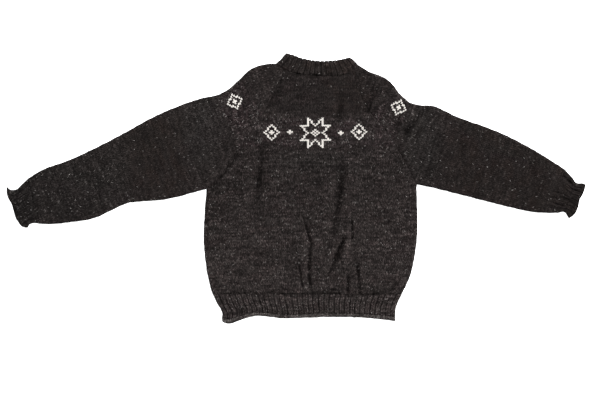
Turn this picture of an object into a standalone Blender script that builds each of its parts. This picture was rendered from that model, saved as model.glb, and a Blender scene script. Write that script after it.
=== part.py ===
"""Hand-knit raglan pullover in dark heather yarn, laid flat with its front up and its sleeves spread.

Units are metres and +Z is up. x runs across the garment to the wearer's left, y towards the neck. The garment
is a set of knitted walls: front, back, two sleeves, neckband, waist rib and two cuffs. Each wall is a loft
between an outer and an inner grid of points. The grids come from the outline of the garment as it lies and from
one rule for the height of the cloth, so that neighbours meet along their seams.
"""

import math

import bmesh
import bpy
import numpy as np

GARMENT = "pullover_sweater"

# Cloth
WALL = 0.0030
LAYER_GAP = 0.0020
SEAM_GAP = 0.0003
FOLD_RADIUS = WALL + LAYER_GAP / 2
MID = FOLD_RADIUS

# Ribbing, two stitches up and two down
WAIST_RIBS = 34
CUFF_RIBS = 8
NECK_RIBS = 15
POINTS_PER_RIB = 3
RIB_HEIGHT = 0.0018
RIB_FLOOR = -0.0006
NECKBAND_RISE = 0.0026
NECKBAND_INNER_RISE = 0.0011
NECK_SCALLOP = 0.0010

# Outline seen from above, one table for each side of the wearer. Every list runs away from the underarm, or
# from the shoulder at the neck for the upper edge. Columns: x, y
OUTLINE = {
    "right": {
        "side": (
            (-0.2240, -0.0005),
            (-0.2288, -0.0645),
            (-0.2312, -0.1245),
            (-0.2275, -0.1745),
            (-0.2195, -0.2270),
            (-0.2088, -0.2645),
        ),
        "rib_side": ((-0.2088, -0.2645), (-0.1962, -0.2894), (-0.1860, -0.3060), (-0.1850, -0.3330)),
        "raglan": ((-0.2240, -0.0005), (-0.1738, 0.0631), (-0.0788, 0.1956), (-0.0300, 0.2970)),
        "under": (
            (-0.2240, -0.0005),
            (-0.2660, -0.0130),
            (-0.3410, -0.0292),
            (-0.3900, -0.0325),
            (-0.4170, -0.0356),
            (-0.4660, -0.0569),
            (-0.5000, -0.0725),
            (-0.5660, -0.0844),
            (-0.6160, -0.0893),
            (-0.6400, -0.0885),
        ),
        "over": (
            (-0.0512, 0.3106),
            (-0.0720, 0.3098),
            (-0.1162, 0.2951),
            (-0.1450, 0.2681),
            (-0.1670, 0.2490),
            (-0.1900, 0.2352),
            (-0.2412, 0.2231),
            (-0.3290, 0.1906),
            (-0.4662, 0.1181),
            (-0.5660, 0.0706),
            (-0.6412, 0.0419),
            (-0.6700, 0.0238),
        ),
        "cuff_under": ((-0.6400, -0.0885), (-0.6570, -0.0865), (-0.6660, -0.0895), (-0.6725, -0.0992)),
        "cuff_over": (
            (-0.6700, 0.0238),
            (-0.6900, 0.0040),
            (-0.7000, -0.0040),
            (-0.7160, -0.0030),
            (-0.7232, 0.0031),
        ),
        "cuff_end": (
            (-0.6725, -0.0992),
            (-0.6850, -0.0960),
            (-0.6945, -0.0840),
            (-0.7112, -0.0381),
            (-0.7228, -0.0144),
            (-0.7232, 0.0031),
        ),
        "neck_side": ((-0.0512, 0.3106), (-0.0360, 0.3240), (-0.0262, 0.3369)),
    },
    "left": {
        "side": (
            (0.3000, 0.0094),
            (0.3000, -0.0300),
            (0.3012, -0.1145),
            (0.2962, -0.1594),
            (0.2838, -0.2169),
            (0.2625, -0.2645),
        ),
        "rib_side": ((0.2625, -0.2645), (0.2537, -0.2819), (0.2475, -0.3000), (0.2458, -0.3314)),
        "raglan": ((0.3000, 0.0094), (0.2212, 0.1456), (0.1788, 0.1956), (0.1375, 0.2915)),
        "under": (
            (0.3000, 0.0094),
            (0.3338, 0.0031),
            (0.4088, -0.0156),
            (0.5088, -0.0406),
            (0.5588, -0.0531),
            (0.5950, -0.0600),
            (0.6312, -0.0611),
        ),
        "over": (
            (0.1538, 0.3069),
            (0.1838, 0.2894),
            (0.2050, 0.2815),
            (0.2238, 0.2731),
            (0.2670, 0.2266),
            (0.2862, 0.2124),
            (0.3052, 0.2076),
            (0.3388, 0.2051),
            (0.3962, 0.1799),
            (0.5088, 0.1381),
            (0.6088, 0.0856),
            (0.6688, 0.0474),
        ),
        "cuff_under": ((0.6312, -0.0611), (0.6520, -0.0606), (0.6680, -0.0590), (0.6812, -0.0744)),
        "cuff_over": (
            (0.6688, 0.0474),
            (0.6890, 0.0250),
            (0.6990, 0.0130),
            (0.7100, 0.0122),
            (0.7225, 0.0094),
        ),
        "cuff_end": (
            (0.6812, -0.0744),
            (0.6900, -0.0690),
            (0.7000, -0.0540),
            (0.7062, -0.0300),
            (0.7180, -0.0070),
            (0.7225, 0.0094),
        ),
        "neck_side": ((0.1538, 0.3069), (0.1450, 0.3170), (0.1338, 0.3269)),
    },
}

# Base and top edge of the neckband, from the wearer's right to the left. Columns: x, y
NECK_BASE = (
    (-0.0512, 0.3106),
    (-0.0300, 0.2970),
    (0.0012, 0.2864),
    (0.0488, 0.2819),
    (0.1162, 0.2831),
    (0.1375, 0.2915),
    (0.1538, 0.3069),
)
NECK_TOP = (
    (-0.0262, 0.3369),
    (-0.0012, 0.3294),
    (0.0238, 0.3219),
    (0.0488, 0.3181),
    (0.0838, 0.3174),
    (0.1088, 0.3206),
    (0.1338, 0.3269),
)

# Lower edge of the waist rib, from the wearer's right to the left. Columns: x, y
HEM = (
    (-0.1850, -0.3330),
    (-0.1762, -0.3376),
    (-0.1462, -0.3306),
    (-0.1162, -0.3206),
    (-0.0288, -0.3249),
    (0.0712, -0.3214),
    (0.1862, -0.3244),
    (0.2458, -0.3314),
)

# Creases of the upper layer: a valley between two soft ridges, along a bend through three points.
# Columns: start x, y; middle x, y; end x, y; distance from valley to ridge; height of the ridges
CREASES = (
    (-0.0790, 0.0950, -0.0960, 0.0100, -0.0990, -0.0720, 0.022, 0.0022),
    (0.0160, -0.0740, 0.0380, -0.1500, 0.0390, -0.2620, 0.016, 0.0050),
    (0.1160, 0.0880, 0.1150, -0.0500, 0.0840, -0.1620, 0.022, 0.0055),
    (0.1240, -0.1240, 0.1030, -0.1700, 0.0740, -0.2350, 0.015, 0.0088),
    (0.1340, -0.0820, 0.1480, -0.1700, 0.1410, -0.2620, 0.016, 0.0055),
    (0.1090, 0.2210, 0.1050, 0.1950, 0.1010, 0.1760, 0.012, 0.0040),
    (-0.1590, 0.0560, -0.1960, 0.0260, -0.2240, -0.0040, 0.014, 0.0045),
    (0.3110, 0.1830, 0.2890, 0.1600, 0.2660, 0.1360, 0.014, 0.0050),
    (0.4010, 0.1300, 0.4010, 0.0960, 0.3950, 0.0560, 0.020, 0.0030),
    (-0.4300, 0.1150, -0.4420, 0.0500, -0.4350, -0.0100, 0.024, 0.0022),
    (-0.5850, 0.0450, -0.5950, 0.0000, -0.5850, -0.0450, 0.016, 0.0022),
    (0.5700, 0.0700, 0.5900, 0.0250, 0.5850, -0.0250, 0.018, 0.0026),
    (0.2600, 0.0600, 0.2840, 0.0330, 0.2990, 0.0060, 0.012, 0.0035),
)

# Puffs where the cloth is drawn in by a band. Columns: x, y of the two ends of the join, distance from the join
# to the crest, height of the crest
GATHERS = (
    (-0.2088, -0.2645, 0.2625, -0.2645, 0.014, 0.0050),
    (-0.6700, 0.0238, -0.6400, -0.0885, 0.010, 0.0026),
    (0.6688, 0.0474, 0.6312, -0.0611, 0.010, 0.0036),
)
CREASE_SAMPLES = 13
CREASE_EASE = 1 / 3

# The upper layer also arches a little between its folds, and creases fade out towards a folded edge
CROWN = 0.0014
CROWN_REACH = 0.050
CREASE_REACH = 0.028

# Grid of the panels. Rows are given from the waist join to the underarm as shares of that length; columns as
# shares of the width, closer together where the creases of the front lie
FRONT_ROWS = (0.0, 0.025, 0.055, 0.10, 0.17, 0.27, 0.38, 0.50, 0.62, 0.75, 0.88, 1.0)
BACK_ROWS = (0.0, 0.25, 0.5, 0.75, 1.0)
FRONT_COLUMNS = ((0.0, 0.36, 8), (0.36, 0.76, 15), (0.76, 1.0, 6))
BACK_COLUMNS = ((0.0, 0.2, 5), (0.2, 0.8, 9), (0.8, 1.0, 5))
SPREAD_ROWS = 3
RAGLAN_STEPS = 10
SLEEVE_COLUMNS = RAGLAN_STEPS + 2
SLEEVE_STATIONS = (
    (0.0, 0.035, 0.07, 0.11, 0.15, 0.19, 0.235, 0.28, 0.33, 0.39, 0.46, 0.53)
    + (0.60, 0.67, 0.74, 0.81, 0.87, 0.92, 0.96, 0.98, 1.0)
)

# Rows of each ribbed band. Columns: share of the way from its join to its free edge, rise of the outer face
WAIST_ROWS = ((0.0, 0.0), (0.10, 0.0), (0.84, 0.0), (0.90, -0.0008), (0.96, 0.0014), (1.0, 0.0004))
CUFF_ROWS = ((0.0, -0.0004), (0.15, 0.0), (0.60, 0.0), (1.0, 0.0006))
NECK_ROWS = ((0.0, 0.0), (0.15, 0.0), (0.88, 0.0), (1.0, -0.0016))
UNDER_POINTS = {"waist_rib": 16, "neckband": 12, "cuff_right": 7, "cuff_left": 7}

YARN = (0.026, 0.020, 0.019)
YARN_RIB = (0.022, 0.018, 0.017)


def smooth(value):
    """Eases from 0 to 1 as the value goes from 0 to 1."""
    value = np.clip(value, 0.0, 1.0)
    return value * value * (3 - 2 * value)


class Path:
    """A smooth curve through a few outline points, read by the distance along it."""

    SAMPLES = 10

    def __init__(self, points):
        points = np.array(points, float)
        spans = np.linalg.norm(np.diff(points, axis=0), axis=1)
        slopes = np.diff(points, axis=0) / spans[:, None]
        tangents = np.vstack([slopes[:1], slopes[:1].repeat(len(points) - 2, 0), slopes[-1:]])
        for i in range(1, len(points) - 1):
            before, after = spans[i - 1], spans[i]
            tangents[i] = (slopes[i - 1] * after + slopes[i] * before) / (before + after)
        dense = [points[0]]
        for i, span in enumerate(spans):
            for step in range(1, self.SAMPLES + 1):
                s = step / self.SAMPLES
                dense.append(
                    (2 * s**3 - 3 * s**2 + 1) * points[i]
                    + (s**3 - 2 * s**2 + s) * span * tangents[i]
                    + (3 * s**2 - 2 * s**3) * points[i + 1]
                    + (s**3 - s**2) * span * tangents[i + 1]
                )
        self.dense = np.array(dense)
        self.run = np.concatenate([[0], np.cumsum(np.linalg.norm(np.diff(self.dense, axis=0), axis=1))])
        self.length = self.run[-1]

    def at(self, distance):
        """Points at these distances from the start."""
        return np.stack([np.interp(distance, self.run, self.dense[:, axis]) for axis in (0, 1)], -1)

    def share(self, fraction):
        """Points at these shares of the whole length."""
        return self.at(np.asarray(fraction) * self.length)


def unit(vectors):
    return vectors / np.linalg.norm(vectors, axis=-1, keepdims=True)


def to_left(points, distance):
    """The line of points moved sideways, to the left of the way it runs."""
    along = unit(np.gradient(points, axis=0))
    return points + distance * np.stack([-along[:, 1], along[:, 0]], -1)


PATHS = {side: {name: Path(points) for name, points in lines.items()} for side, lines in OUTLINE.items()}


def fold_segments():
    """Ends of the short straight pieces that make up every folded edge of the garment."""
    starts, ends = [], []
    for lines in PATHS.values():
        for name in ("side", "rib_side", "under", "over", "cuff_under", "cuff_over", "neck_side"):
            starts.append(lines[name].dense[:-1])
            ends.append(lines[name].dense[1:])
    return np.vstack(starts), np.vstack(ends)


FOLD_STARTS, FOLD_ENDS = fold_segments()
NECK = Path(NECK_BASE)


def distance_to_segments(points, starts, ends):
    """Distance from each point to the nearest segment, and how far along the row of segments that is."""
    span = ends - starts
    offset = points[:, None, :] - starts[None]
    along = np.clip((offset * span).sum(-1) / (span * span).sum(-1), 0, 1)
    gap = np.linalg.norm(offset - along[..., None] * span, axis=-1)
    nearest = gap.argmin(axis=1)
    rows = np.arange(len(points))
    return gap[rows, nearest], (nearest + along[rows, nearest]) / len(starts)


def edge_distance(points):
    flat = points.reshape(-1, 2)
    return distance_to_segments(flat, FOLD_STARTS, FOLD_ENDS)[0].reshape(points.shape[:-1])


def crease_lift(points, row):
    x0, y0, x1, y1, x2, y2, reach, height = row
    share = np.linspace(0, 1, CREASE_SAMPLES)[:, None]
    start, middle, end = np.array((x0, y0)), np.array((x1, y1)), np.array((x2, y2))
    control = 2 * middle - (start + end) / 2
    line = (1 - share) ** 2 * start + 2 * share * (1 - share) * control + share**2 * end
    gap, along = distance_to_segments(points, line[:-1], line[1:])
    across = gap / reach
    ease = smooth(np.minimum(along, 1 - along) / CREASE_EASE)
    return height * across * np.exp(0.5 * (1 - across**2)) * ease


def gather_lift(points, row):
    x0, y0, x1, y1, reach, height = row
    start, end = np.array((x0, y0)), np.array((x1, y1))
    gap, along = distance_to_segments(points, start[None], end[None])
    width = np.linalg.norm(end - start)
    uneven = 0.75 + 0.18 * np.sin(along * width / 0.021) + 0.12 * np.sin(along * width / 0.0083 + 1.3)
    return height * uneven * (gap / reach) * np.exp(1 - gap / reach)


def cloth_lift(points):
    """How far the upper layer rises over its plain height."""
    flat = points.reshape(-1, 2)
    edge = edge_distance(flat)
    lift = CROWN * smooth(edge / CROWN_REACH)
    for row in CREASES:
        lift = lift + crease_lift(flat, row) * smooth(edge / CREASE_REACH)
    for row in GATHERS:
        lift = lift + gather_lift(flat, row) * smooth(edge / CREASE_REACH)
    return lift.reshape(points.shape[:-1])


def curl(depth, radius):
    """Height over the middle plane, at this depth in from a folded edge that turns with this radius."""
    inside = radius - np.clip(depth, 0, radius)
    return np.sqrt(radius**2 - inside**2)


def outer_height(points, upper):
    rise = curl(edge_distance(points), FOLD_RADIUS)
    return MID + rise + cloth_lift(points) if upper else MID - rise


def inner_height(points, upper):
    rise = curl(edge_distance(points) - WALL, FOLD_RADIUS - WALL)
    return MID + rise + cloth_lift(points) if upper else MID - rise


# How deep in from a folded edge the first three columns of the outer and of the inner face lie
FOLD_STEP = 0.3
OUTER_DEPTHS = (0.0, FOLD_STEP * FOLD_RADIUS, FOLD_RADIUS)
INNER_DEPTHS = (WALL, WALL + FOLD_STEP * (FOLD_RADIUS - WALL), FOLD_RADIUS)
EDGE_COLUMNS = len(OUTER_DEPTHS)
STEEPEST_SLANT = 0.4


def coons(first, last, start, end, across, along):
    """Net of points between four edges: start and end are its first and last row, first and last its columns."""
    u = across[None, :, None]
    v = along[:, None, None]
    ruled = (1 - u) * first[:, None] + u * last[:, None] + (1 - v) * start[None] + v * end[None]
    corners = (1 - u) * (1 - v) * first[0] + u * (1 - v) * last[0] + (1 - u) * v * first[-1] + u * v * last[-1]
    return ruled - corners


def new_object(name, vertices, faces, material):
    """A mesh object in the garment's collection, with its faces turned outwards."""
    mesh = bpy.data.meshes.new(name)
    build = bmesh.new()
    made = [build.verts.new(vertex) for vertex in vertices]
    for face in faces:
        build.faces.new([made[index] for index in face])
    bmesh.ops.recalc_face_normals(build, faces=build.faces)
    build.to_mesh(mesh)
    build.free()
    mesh.shade_smooth()
    mesh.set_sharp_from_angle(angle=math.radians(50))
    mesh.materials.append(material)
    item = bpy.data.objects.new(name, mesh)
    bpy.data.collections[GARMENT].objects.link(item)
    return item


def wall(name, outer, inner, material, closed):
    """Loft of a cloth wall between two nets of points. A closed wall's rows run round a tube."""
    rows, columns = outer.shape[:2]
    shift = rows * columns
    vertices = np.vstack([outer.reshape(-1, 3), inner.reshape(-1, 3)])
    steps = columns if closed else columns - 1
    faces = []
    for i in range(rows - 1):
        for j in range(steps):
            k = (j + 1) % columns
            quad = (i * columns + j, i * columns + k, (i + 1) * columns + k, (i + 1) * columns + j)
            faces.append(quad)
            faces.append(tuple(shift + index for index in reversed(quad)))
    for i in (0, rows - 1):
        for j in range(steps):
            a = i * columns + j
            b = i * columns + (j + 1) % columns
            faces.append((a, b, shift + b, shift + a) if i else (b, a, shift + a, shift + b))
    if not closed:
        for j in (0, columns - 1):
            for i in range(rows - 1):
                a = i * columns + j
                b = a + columns
                faces.append((b, a, shift + a, shift + b) if j else (a, b, shift + b, shift + a))
    return new_object(name, vertices, faces, material)


def near_edge(edge_point, inside, depths, tangent=None):
    """Points at these depths in from a folded edge, on the straight way to a point further inside."""
    way = unit(inside - edge_point)
    slant = 1.0 if tangent is None else max(STEEPEST_SLANT, abs(way[0] * tangent[1] - way[1] * tangent[0]))
    return edge_point + way * np.array(depths)[:, None] / slant


LOW_EDGE = slice(0, EDGE_COLUMNS)
HIGH_EDGE = slice(-1, -1 - EDGE_COLUMNS, -1)


def room_for_edges(net):
    """The inner columns of a net, with empty columns on both sides for those that lie next to the folds."""
    rows, columns = net.shape[:2]
    plan = np.zeros((rows, columns - 2 + 2 * EDGE_COLUMNS, 2))
    plan[:, EDGE_COLUMNS:-EDGE_COLUMNS] = net[:, 1:-1]
    return plan


def column_shares(blocks):
    """Shares of the width at which columns lie, from blocks of low end, high end and number of steps."""
    shares = [0.0]
    for low, high, count in blocks:
        shares += [low + (high - low) * (i + 1) / count for i in range(count)]
    return np.array(shares)


def station_spacing(side, near):
    """Distances along a raglan seam: those near the underarm fold, then even steps to the neck."""
    length = PATHS[side]["raglan"].length
    steps = FOLD_RADIUS + (length - FOLD_RADIUS) * np.arange(1, RAGLAN_STEPS + 1) / RAGLAN_STEPS
    return np.concatenate([near, steps])


def neck_corners():
    """Distances along the base of the neckband to the ends of the two raglan seams."""
    return NECK.run[Path.SAMPLES], NECK.run[-1 - Path.SAMPLES]


def shoulder_seam(side, depths):
    """The short stretch of the neck edge that belongs to a sleeve, from its corner to the shoulder's fold."""
    first, last = neck_corners()
    length = first if side == "right" else NECK.length - last
    from_fold = np.array((length * 2 / 3, length / 3, *reversed(depths)))
    if side == "right":
        return to_left(NECK.at(from_fold), SEAM_GAP / 2)
    return to_left(NECK.at(NECK.length - from_fold), -SEAM_GAP / 2)


def panel_edges(side, row_shares):
    """Side edge and raglan edge of a body panel, from the waist join to the neck, and its inner underarm corner."""
    lines = PATHS[side]
    inwards = {"right": -SEAM_GAP / 2, "left": SEAM_GAP / 2}[side]
    raglan = to_left(lines["raglan"].at(station_spacing(side, (0.0, FOLD_RADIUS))), inwards)
    edge = np.vstack([lines["side"].share(1 - np.array(row_shares[:-1])), raglan])
    edge[0, 1] += SEAM_GAP / 2
    edge[-1, 1] -= SEAM_GAP / 2
    corner = raglan[0] + unit(raglan[1] - raglan[0]) * WALL
    return edge, corner


def make_panel(name, upper, row_shares, blocks, material):
    """Front or back: open at its edges, curled half way round the garment's sides below the underarm."""
    underarm = len(row_shares) - 1
    right, right_corner = panel_edges("right", row_shares)
    left, left_corner = panel_edges("left", row_shares)
    shares = column_shares(blocks)
    neck_start, neck_end = neck_corners()
    top = to_left(NECK.at(neck_start + shares * (neck_end - neck_start)), -SEAM_GAP / 2)
    top[0], top[-1] = right[-1], left[-1]
    bottom = right[0] + shares[:, None] * (left[0] - right[0])
    run = np.concatenate([[0], np.cumsum(np.linalg.norm(np.diff(right, axis=0), axis=1))])
    net = coons(right, left, bottom, top, shares, run / run[-1])
    rows = len(net)
    outer = room_for_edges(net)
    inner = outer.copy()
    for i in range(rows):
        spread = smooth((i - underarm) / SPREAD_ROWS)
        for first, second, place in ((0, 1, LOW_EDGE), (-1, -2, HIGH_EDGE)):
            edge_point, inside = net[i, first], net[i, second]
            even = np.linalg.norm(inside - edge_point) * np.arange(EDGE_COLUMNS) / EDGE_COLUMNS
            outer[i, place] = near_edge(edge_point, inside, OUTER_DEPTHS + spread * (even - OUTER_DEPTHS))
            inner[i, place] = near_edge(edge_point, inside, INNER_DEPTHS) if i <= underarm else outer[i, place]
    inner[underarm, 0], inner[underarm, -1] = right_corner, left_corner
    outer_z, inner_z = outer_height(outer, upper), inner_height(inner, upper)
    seam = MID + (SEAM_GAP / 2 if upper else -SEAM_GAP / 2)
    for heights in (outer_z, inner_z):
        heights[: underarm + 1, 0] = heights[: underarm + 1, -1] = seam
    return wall(name, np.dstack([outer, outer_z]), np.dstack([inner, inner_z]), material, closed=False)


def tube_rings(upper_plan, upper_z, under_plan, under_z):
    """Closed rows of a flattened tube: over the top from one fold to the other, then back underneath."""
    top = np.dstack([upper_plan, upper_z])
    top[:, 0, 2] = top[:, -1, 2] = MID
    under = np.dstack([under_plan, under_z])[:, -2:0:-1]
    return np.concatenate([top, under], axis=1)


def make_sleeve(side, material):
    lines = PATHS[side]
    outwards = {"right": SEAM_GAP / 2, "left": -SEAM_GAP / 2}[side]
    stations = np.array(SLEEVE_STATIONS)
    middle = np.arange(1, SLEEVE_COLUMNS + 1) / (SLEEVE_COLUMNS + 1)
    plans = []
    for depths in (OUTER_DEPTHS, INNER_DEPTHS):
        seam = to_left(lines["raglan"].at(station_spacing(side, depths)), outwards)
        start = np.vstack([seam, shoulder_seam(side, depths)])
        under = Path((start[0], *OUTLINE[side]["under"][1:]))
        over = Path((start[-1], *OUTLINE[side]["over"][1:]))
        low, high = under.share(stations), over.share(stations)
        shares = np.concatenate([[0.0], middle, [1.0]])
        end = low[-1] + shares[:, None] * (high[-1] - low[-1])
        start_middle = start[EDGE_COLUMNS:-EDGE_COLUMNS]
        net = coons(low, high, np.vstack([start[:1], start_middle, start[-1:]]), end, shares, stations)
        plan = room_for_edges(net)
        low_way, high_way = unit(np.gradient(low, axis=0)), unit(np.gradient(high, axis=0))
        for i in range(len(stations)):
            plan[i, LOW_EDGE] = near_edge(low[i], net[i, 1], depths, low_way[i])
            plan[i, HIGH_EDGE] = near_edge(high[i], net[i, -2], depths, high_way[i])
        plan[0] = start
        away = unit(np.mean(low[-2:] + high[-2:], axis=0) - np.mean(low[-3:-1] + high[-3:-1], axis=0))
        plan[-1] -= away * SEAM_GAP / 2
        plans.append(plan)
    rings = [
        tube_rings(plan, height(plan, True), plan, height(plan, False))
        for plan, height in zip(plans, (outer_height, inner_height))
    ]
    return wall(f"sleeve_{side}", *rings, material, closed=True)


def make_band(name, near, far, join, edge, rows, ribs, material, rise=0.0, inner_rise=0.0, scallop=0.0):
    """A ribbed tube between a join and a free edge. The near and far paths are its two folds; ribs stand on the
    upper side only, over a plain inside."""
    stations = np.array([row[0] for row in rows])
    lifts = np.array([row[1] for row in rows])
    low, high = near.share(stations), far.share(stations)
    points = POINTS_PER_RIB * ribs
    rib_shares = (np.arange(1, points - 1) + 0.5) / points
    ridge = np.where(np.arange(1, points - 1) % POINTS_PER_RIB == 1, 0.0, 1.0)
    under_shares = np.arange(1, UNDER_POINTS[name] + 1) / (UNDER_POINTS[name] + 1)
    into_band = unit(low[1] + high[1] - low[0] - high[0])
    plans = {}
    for part, middle in (("upper", rib_shares), ("under", under_shares)):
        shares = np.concatenate([[0.0], middle, [1.0]])
        start, end = join.share(shares), edge.share(shares)
        net = coons(low, high, start, end, shares, stations)
        net[0] += into_band * SEAM_GAP / 2
        for layer, depths in (("outer", OUTER_DEPTHS), ("inner", INNER_DEPTHS)):
            plan = room_for_edges(net)
            low_way, high_way = unit(np.gradient(low, axis=0)), unit(np.gradient(high, axis=0))
            for i in range(len(stations)):
                corner = scallop > 0 and i == 0
                plan[i, LOW_EDGE] = near_edge(net[i, 0], net[i, 1], depths, None if corner else low_way[i])
                plan[i, HIGH_EDGE] = near_edge(net[i, -1], net[i, -2], depths, None if corner else high_way[i])
            plans[part, layer] = plan
    ribbing = np.pad(RIB_FLOOR + RIB_HEIGHT * ridge, EDGE_COLUMNS)
    for layer in ("outer", "inner"):
        plans["upper", layer][-1, EDGE_COLUMNS:-EDGE_COLUMNS] += into_band * scallop * (ridge[:, None] - 1)
    raised = {"outer": rise + ribbing[None] + lifts[:, None], "inner": inner_rise}
    rings = []
    for layer, height in (("outer", outer_height), ("inner", inner_height)):
        upper, under = plans["upper", layer], plans["under", layer]
        inside = smooth(edge_distance(upper) / (2 * FOLD_RADIUS))
        upper_z = height(upper, True) + raised[layer] * inside
        rings.append(tube_rings(upper, upper_z, under, height(under, False)))
    return wall(name, *rings, material, closed=True)


def make_material(name, colour, roughness):
    material = bpy.data.materials.new(name)
    material.use_nodes = True
    shader = material.node_tree.nodes["Principled BSDF"]
    shader.inputs["Base Color"].default_value = (*colour, 1.0)
    shader.inputs["Roughness"].default_value = roughness
    shader.inputs["Metallic"].default_value = 0.0
    return material


def centre_on_origin(items):
    """Moves the garment so that the middle of its outline is over the origin, with its underside at zero."""
    corners = np.array([vertex.co for item in items for vertex in item.data.vertices])
    low, high = corners.min(axis=0), corners.max(axis=0)
    shift = np.array(((low[0] + high[0]) / 2, (low[1] + high[1]) / 2, low[2]))
    for item in items:
        for vertex in item.data.vertices:
            vertex.co = np.array(vertex.co) - shift


def main():
    for item in list(bpy.data.objects):
        bpy.data.objects.remove(item, do_unlink=True)
    bpy.context.scene.collection.children.link(bpy.data.collections.new(GARMENT))
    yarn = make_material("heather_yarn", YARN, 0.9)
    rib_yarn = make_material("heather_yarn_rib", YARN_RIB, 0.9)
    items = [
        make_panel("front", True, FRONT_ROWS, FRONT_COLUMNS, yarn),
        make_panel("back", False, BACK_ROWS, BACK_COLUMNS, yarn),
    ]
    for side, lines in PATHS.items():
        items.append(make_sleeve(side, yarn))
        join = Path((OUTLINE[side]["cuff_under"][0], OUTLINE[side]["cuff_over"][0]))
        under, over, end = lines["cuff_under"], lines["cuff_over"], lines["cuff_end"]
        items.append(make_band(f"cuff_{side}", under, over, join, end, CUFF_ROWS, CUFF_RIBS, rib_yarn))
    right, left = PATHS["right"], PATHS["left"]
    waist = Path((OUTLINE["right"]["rib_side"][0], OUTLINE["left"]["rib_side"][0]))
    items.append(
        make_band("waist_rib", right["rib_side"], left["rib_side"], waist, Path(HEM), WAIST_ROWS, WAIST_RIBS, rib_yarn)
    )
    items.append(
        make_band(
            "neckband",
            right["neck_side"],
            left["neck_side"],
            Path(NECK_BASE),
            Path(NECK_TOP),
            NECK_ROWS,
            NECK_RIBS,
            rib_yarn,
            rise=NECKBAND_RISE,
            inner_rise=NECKBAND_INNER_RISE,
            scallop=NECK_SCALLOP,
        )
    )
    centre_on_origin(items)


main()
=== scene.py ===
"""Looks of a hand-knit raglan pullover in dark heather yarn, laid flat with its front up.

Units are metres, or millimetres in the tables that say so. Every knitted piece is a fine shell on the form of
its solid: stockinette on a lattice of stitches, ribbing on rings. The outline and the height of the cloth are
those of the solids.
"""

import math

import bpy
import numpy as np
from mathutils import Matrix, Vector


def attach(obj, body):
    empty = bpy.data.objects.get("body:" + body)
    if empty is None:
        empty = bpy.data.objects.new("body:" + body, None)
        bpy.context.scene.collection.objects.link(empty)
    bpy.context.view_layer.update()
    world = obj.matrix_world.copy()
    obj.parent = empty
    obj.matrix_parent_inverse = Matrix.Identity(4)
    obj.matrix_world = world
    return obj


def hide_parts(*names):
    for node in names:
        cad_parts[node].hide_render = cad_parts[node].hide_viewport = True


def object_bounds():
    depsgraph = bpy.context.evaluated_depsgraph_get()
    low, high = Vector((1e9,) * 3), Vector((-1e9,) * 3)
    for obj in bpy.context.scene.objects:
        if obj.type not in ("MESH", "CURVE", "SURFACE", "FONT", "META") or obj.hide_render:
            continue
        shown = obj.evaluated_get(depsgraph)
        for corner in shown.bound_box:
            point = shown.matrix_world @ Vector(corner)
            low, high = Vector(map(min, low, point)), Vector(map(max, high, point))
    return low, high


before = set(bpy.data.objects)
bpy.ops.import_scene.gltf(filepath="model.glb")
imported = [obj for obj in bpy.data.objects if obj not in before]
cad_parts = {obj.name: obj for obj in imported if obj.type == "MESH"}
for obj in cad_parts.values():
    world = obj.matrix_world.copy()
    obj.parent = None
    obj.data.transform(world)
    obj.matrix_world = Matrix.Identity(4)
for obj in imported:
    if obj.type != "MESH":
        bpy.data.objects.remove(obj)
CAD_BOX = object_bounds()

MM = 0.001

# Cloth
WALL = 0.0030
LAYER_GAP = 0.0020
FOLD_RADIUS = WALL + LAYER_GAP / 2
MID = FOLD_RADIUS
STITCH_WIDTH = 0.0046
ROW_HEIGHT = 0.0036
WALE_RELIEF = 0.00034
ROW_RELIEF = 0.00020
STITCH_UNEVEN = 0.00022
SWELL = 0.0007
SEAM_DIP = 0.0004
SEAM_DIP_REACH = 0.0045
EDGE_UNEVEN = 0.0008
EDGE_REACH = 0.010
EDGE_BUMP = (0.0085, 0.0085)
SEAM_TUCK = 0.0007
TROUGH_FLOOR = 0.45
TROUGH_SOFTNESS = 0.0012

# Lattice of the plain knitting, in stitches across and rows up, and how finely other curves are read
KNIT_STEPS = np.array((0.5, 0.5))
NECK_SAMPLES = 60
ON_FOLD = 1e-7
CHUNK = 6000

# Ribbing, two stitches up and two down
WAIST_RIBS = 34
CUFF_RIBS = 8
CUFF_PLAIN = {"right": 0.006, "left": 0.014}
NECK_RIBS = 15
COLUMNS_PER_RIB = 12
STITCHES_PER_RIB = 4
RIB_HEIGHT = 0.0017
RIB_FLOOR = -0.0008
RIB_VALLEY = 0.26
RIB_PATCH = (0.013, 0.040)
RIB_UNEVEN = 0.16
# Painted shade: the colour in the valleys between the ribs is darkened by up to this share
RIB_SHADE = 0.58
UNDER_RIB_HEIGHT = 0.0011
NECKBAND_RISE = 0.0018
NECK_SCALLOP = 0.0019
RIB_EASE = 0.010

# Section of a rib in shares of it: start and width of a flank, groove between its two wales; then its looks
RIB_FLANK = (0.02, 0.15)
WALE_GROOVE_WIDTH, WALE_GROOVE_DEPTH = 0.06, 0.22
RIB_STRENGTH = (0.80, 0.35)
RIB_UNEVEN_RUN = 1.4
RIB_CONTRAST, RIB_FLECKS = 0.9, 0.40
WAIST_BRIGHT, NECK_BRIGHT, CUFF_BRIGHT = 1.70, 1.15, 1.0
NECK_RELIEF, CUFF_RELIEF = 0.75, 0.7
FRAYED_FROM = 0.8
INNER_RISE = 0.45

# Rings of a band: depth in the wall at the join and at the free edge, and shares of the part that turns in
BAND_ROW_STEP = 0.0019
JOIN_DEPTHS = (0.9, 0.45)
FREE_DEPTHS = (0.30, 0.70)
HEM_TURN_IN = 0.020
HEM_TURNED = (0.24, 0.60, 1.0)

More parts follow.
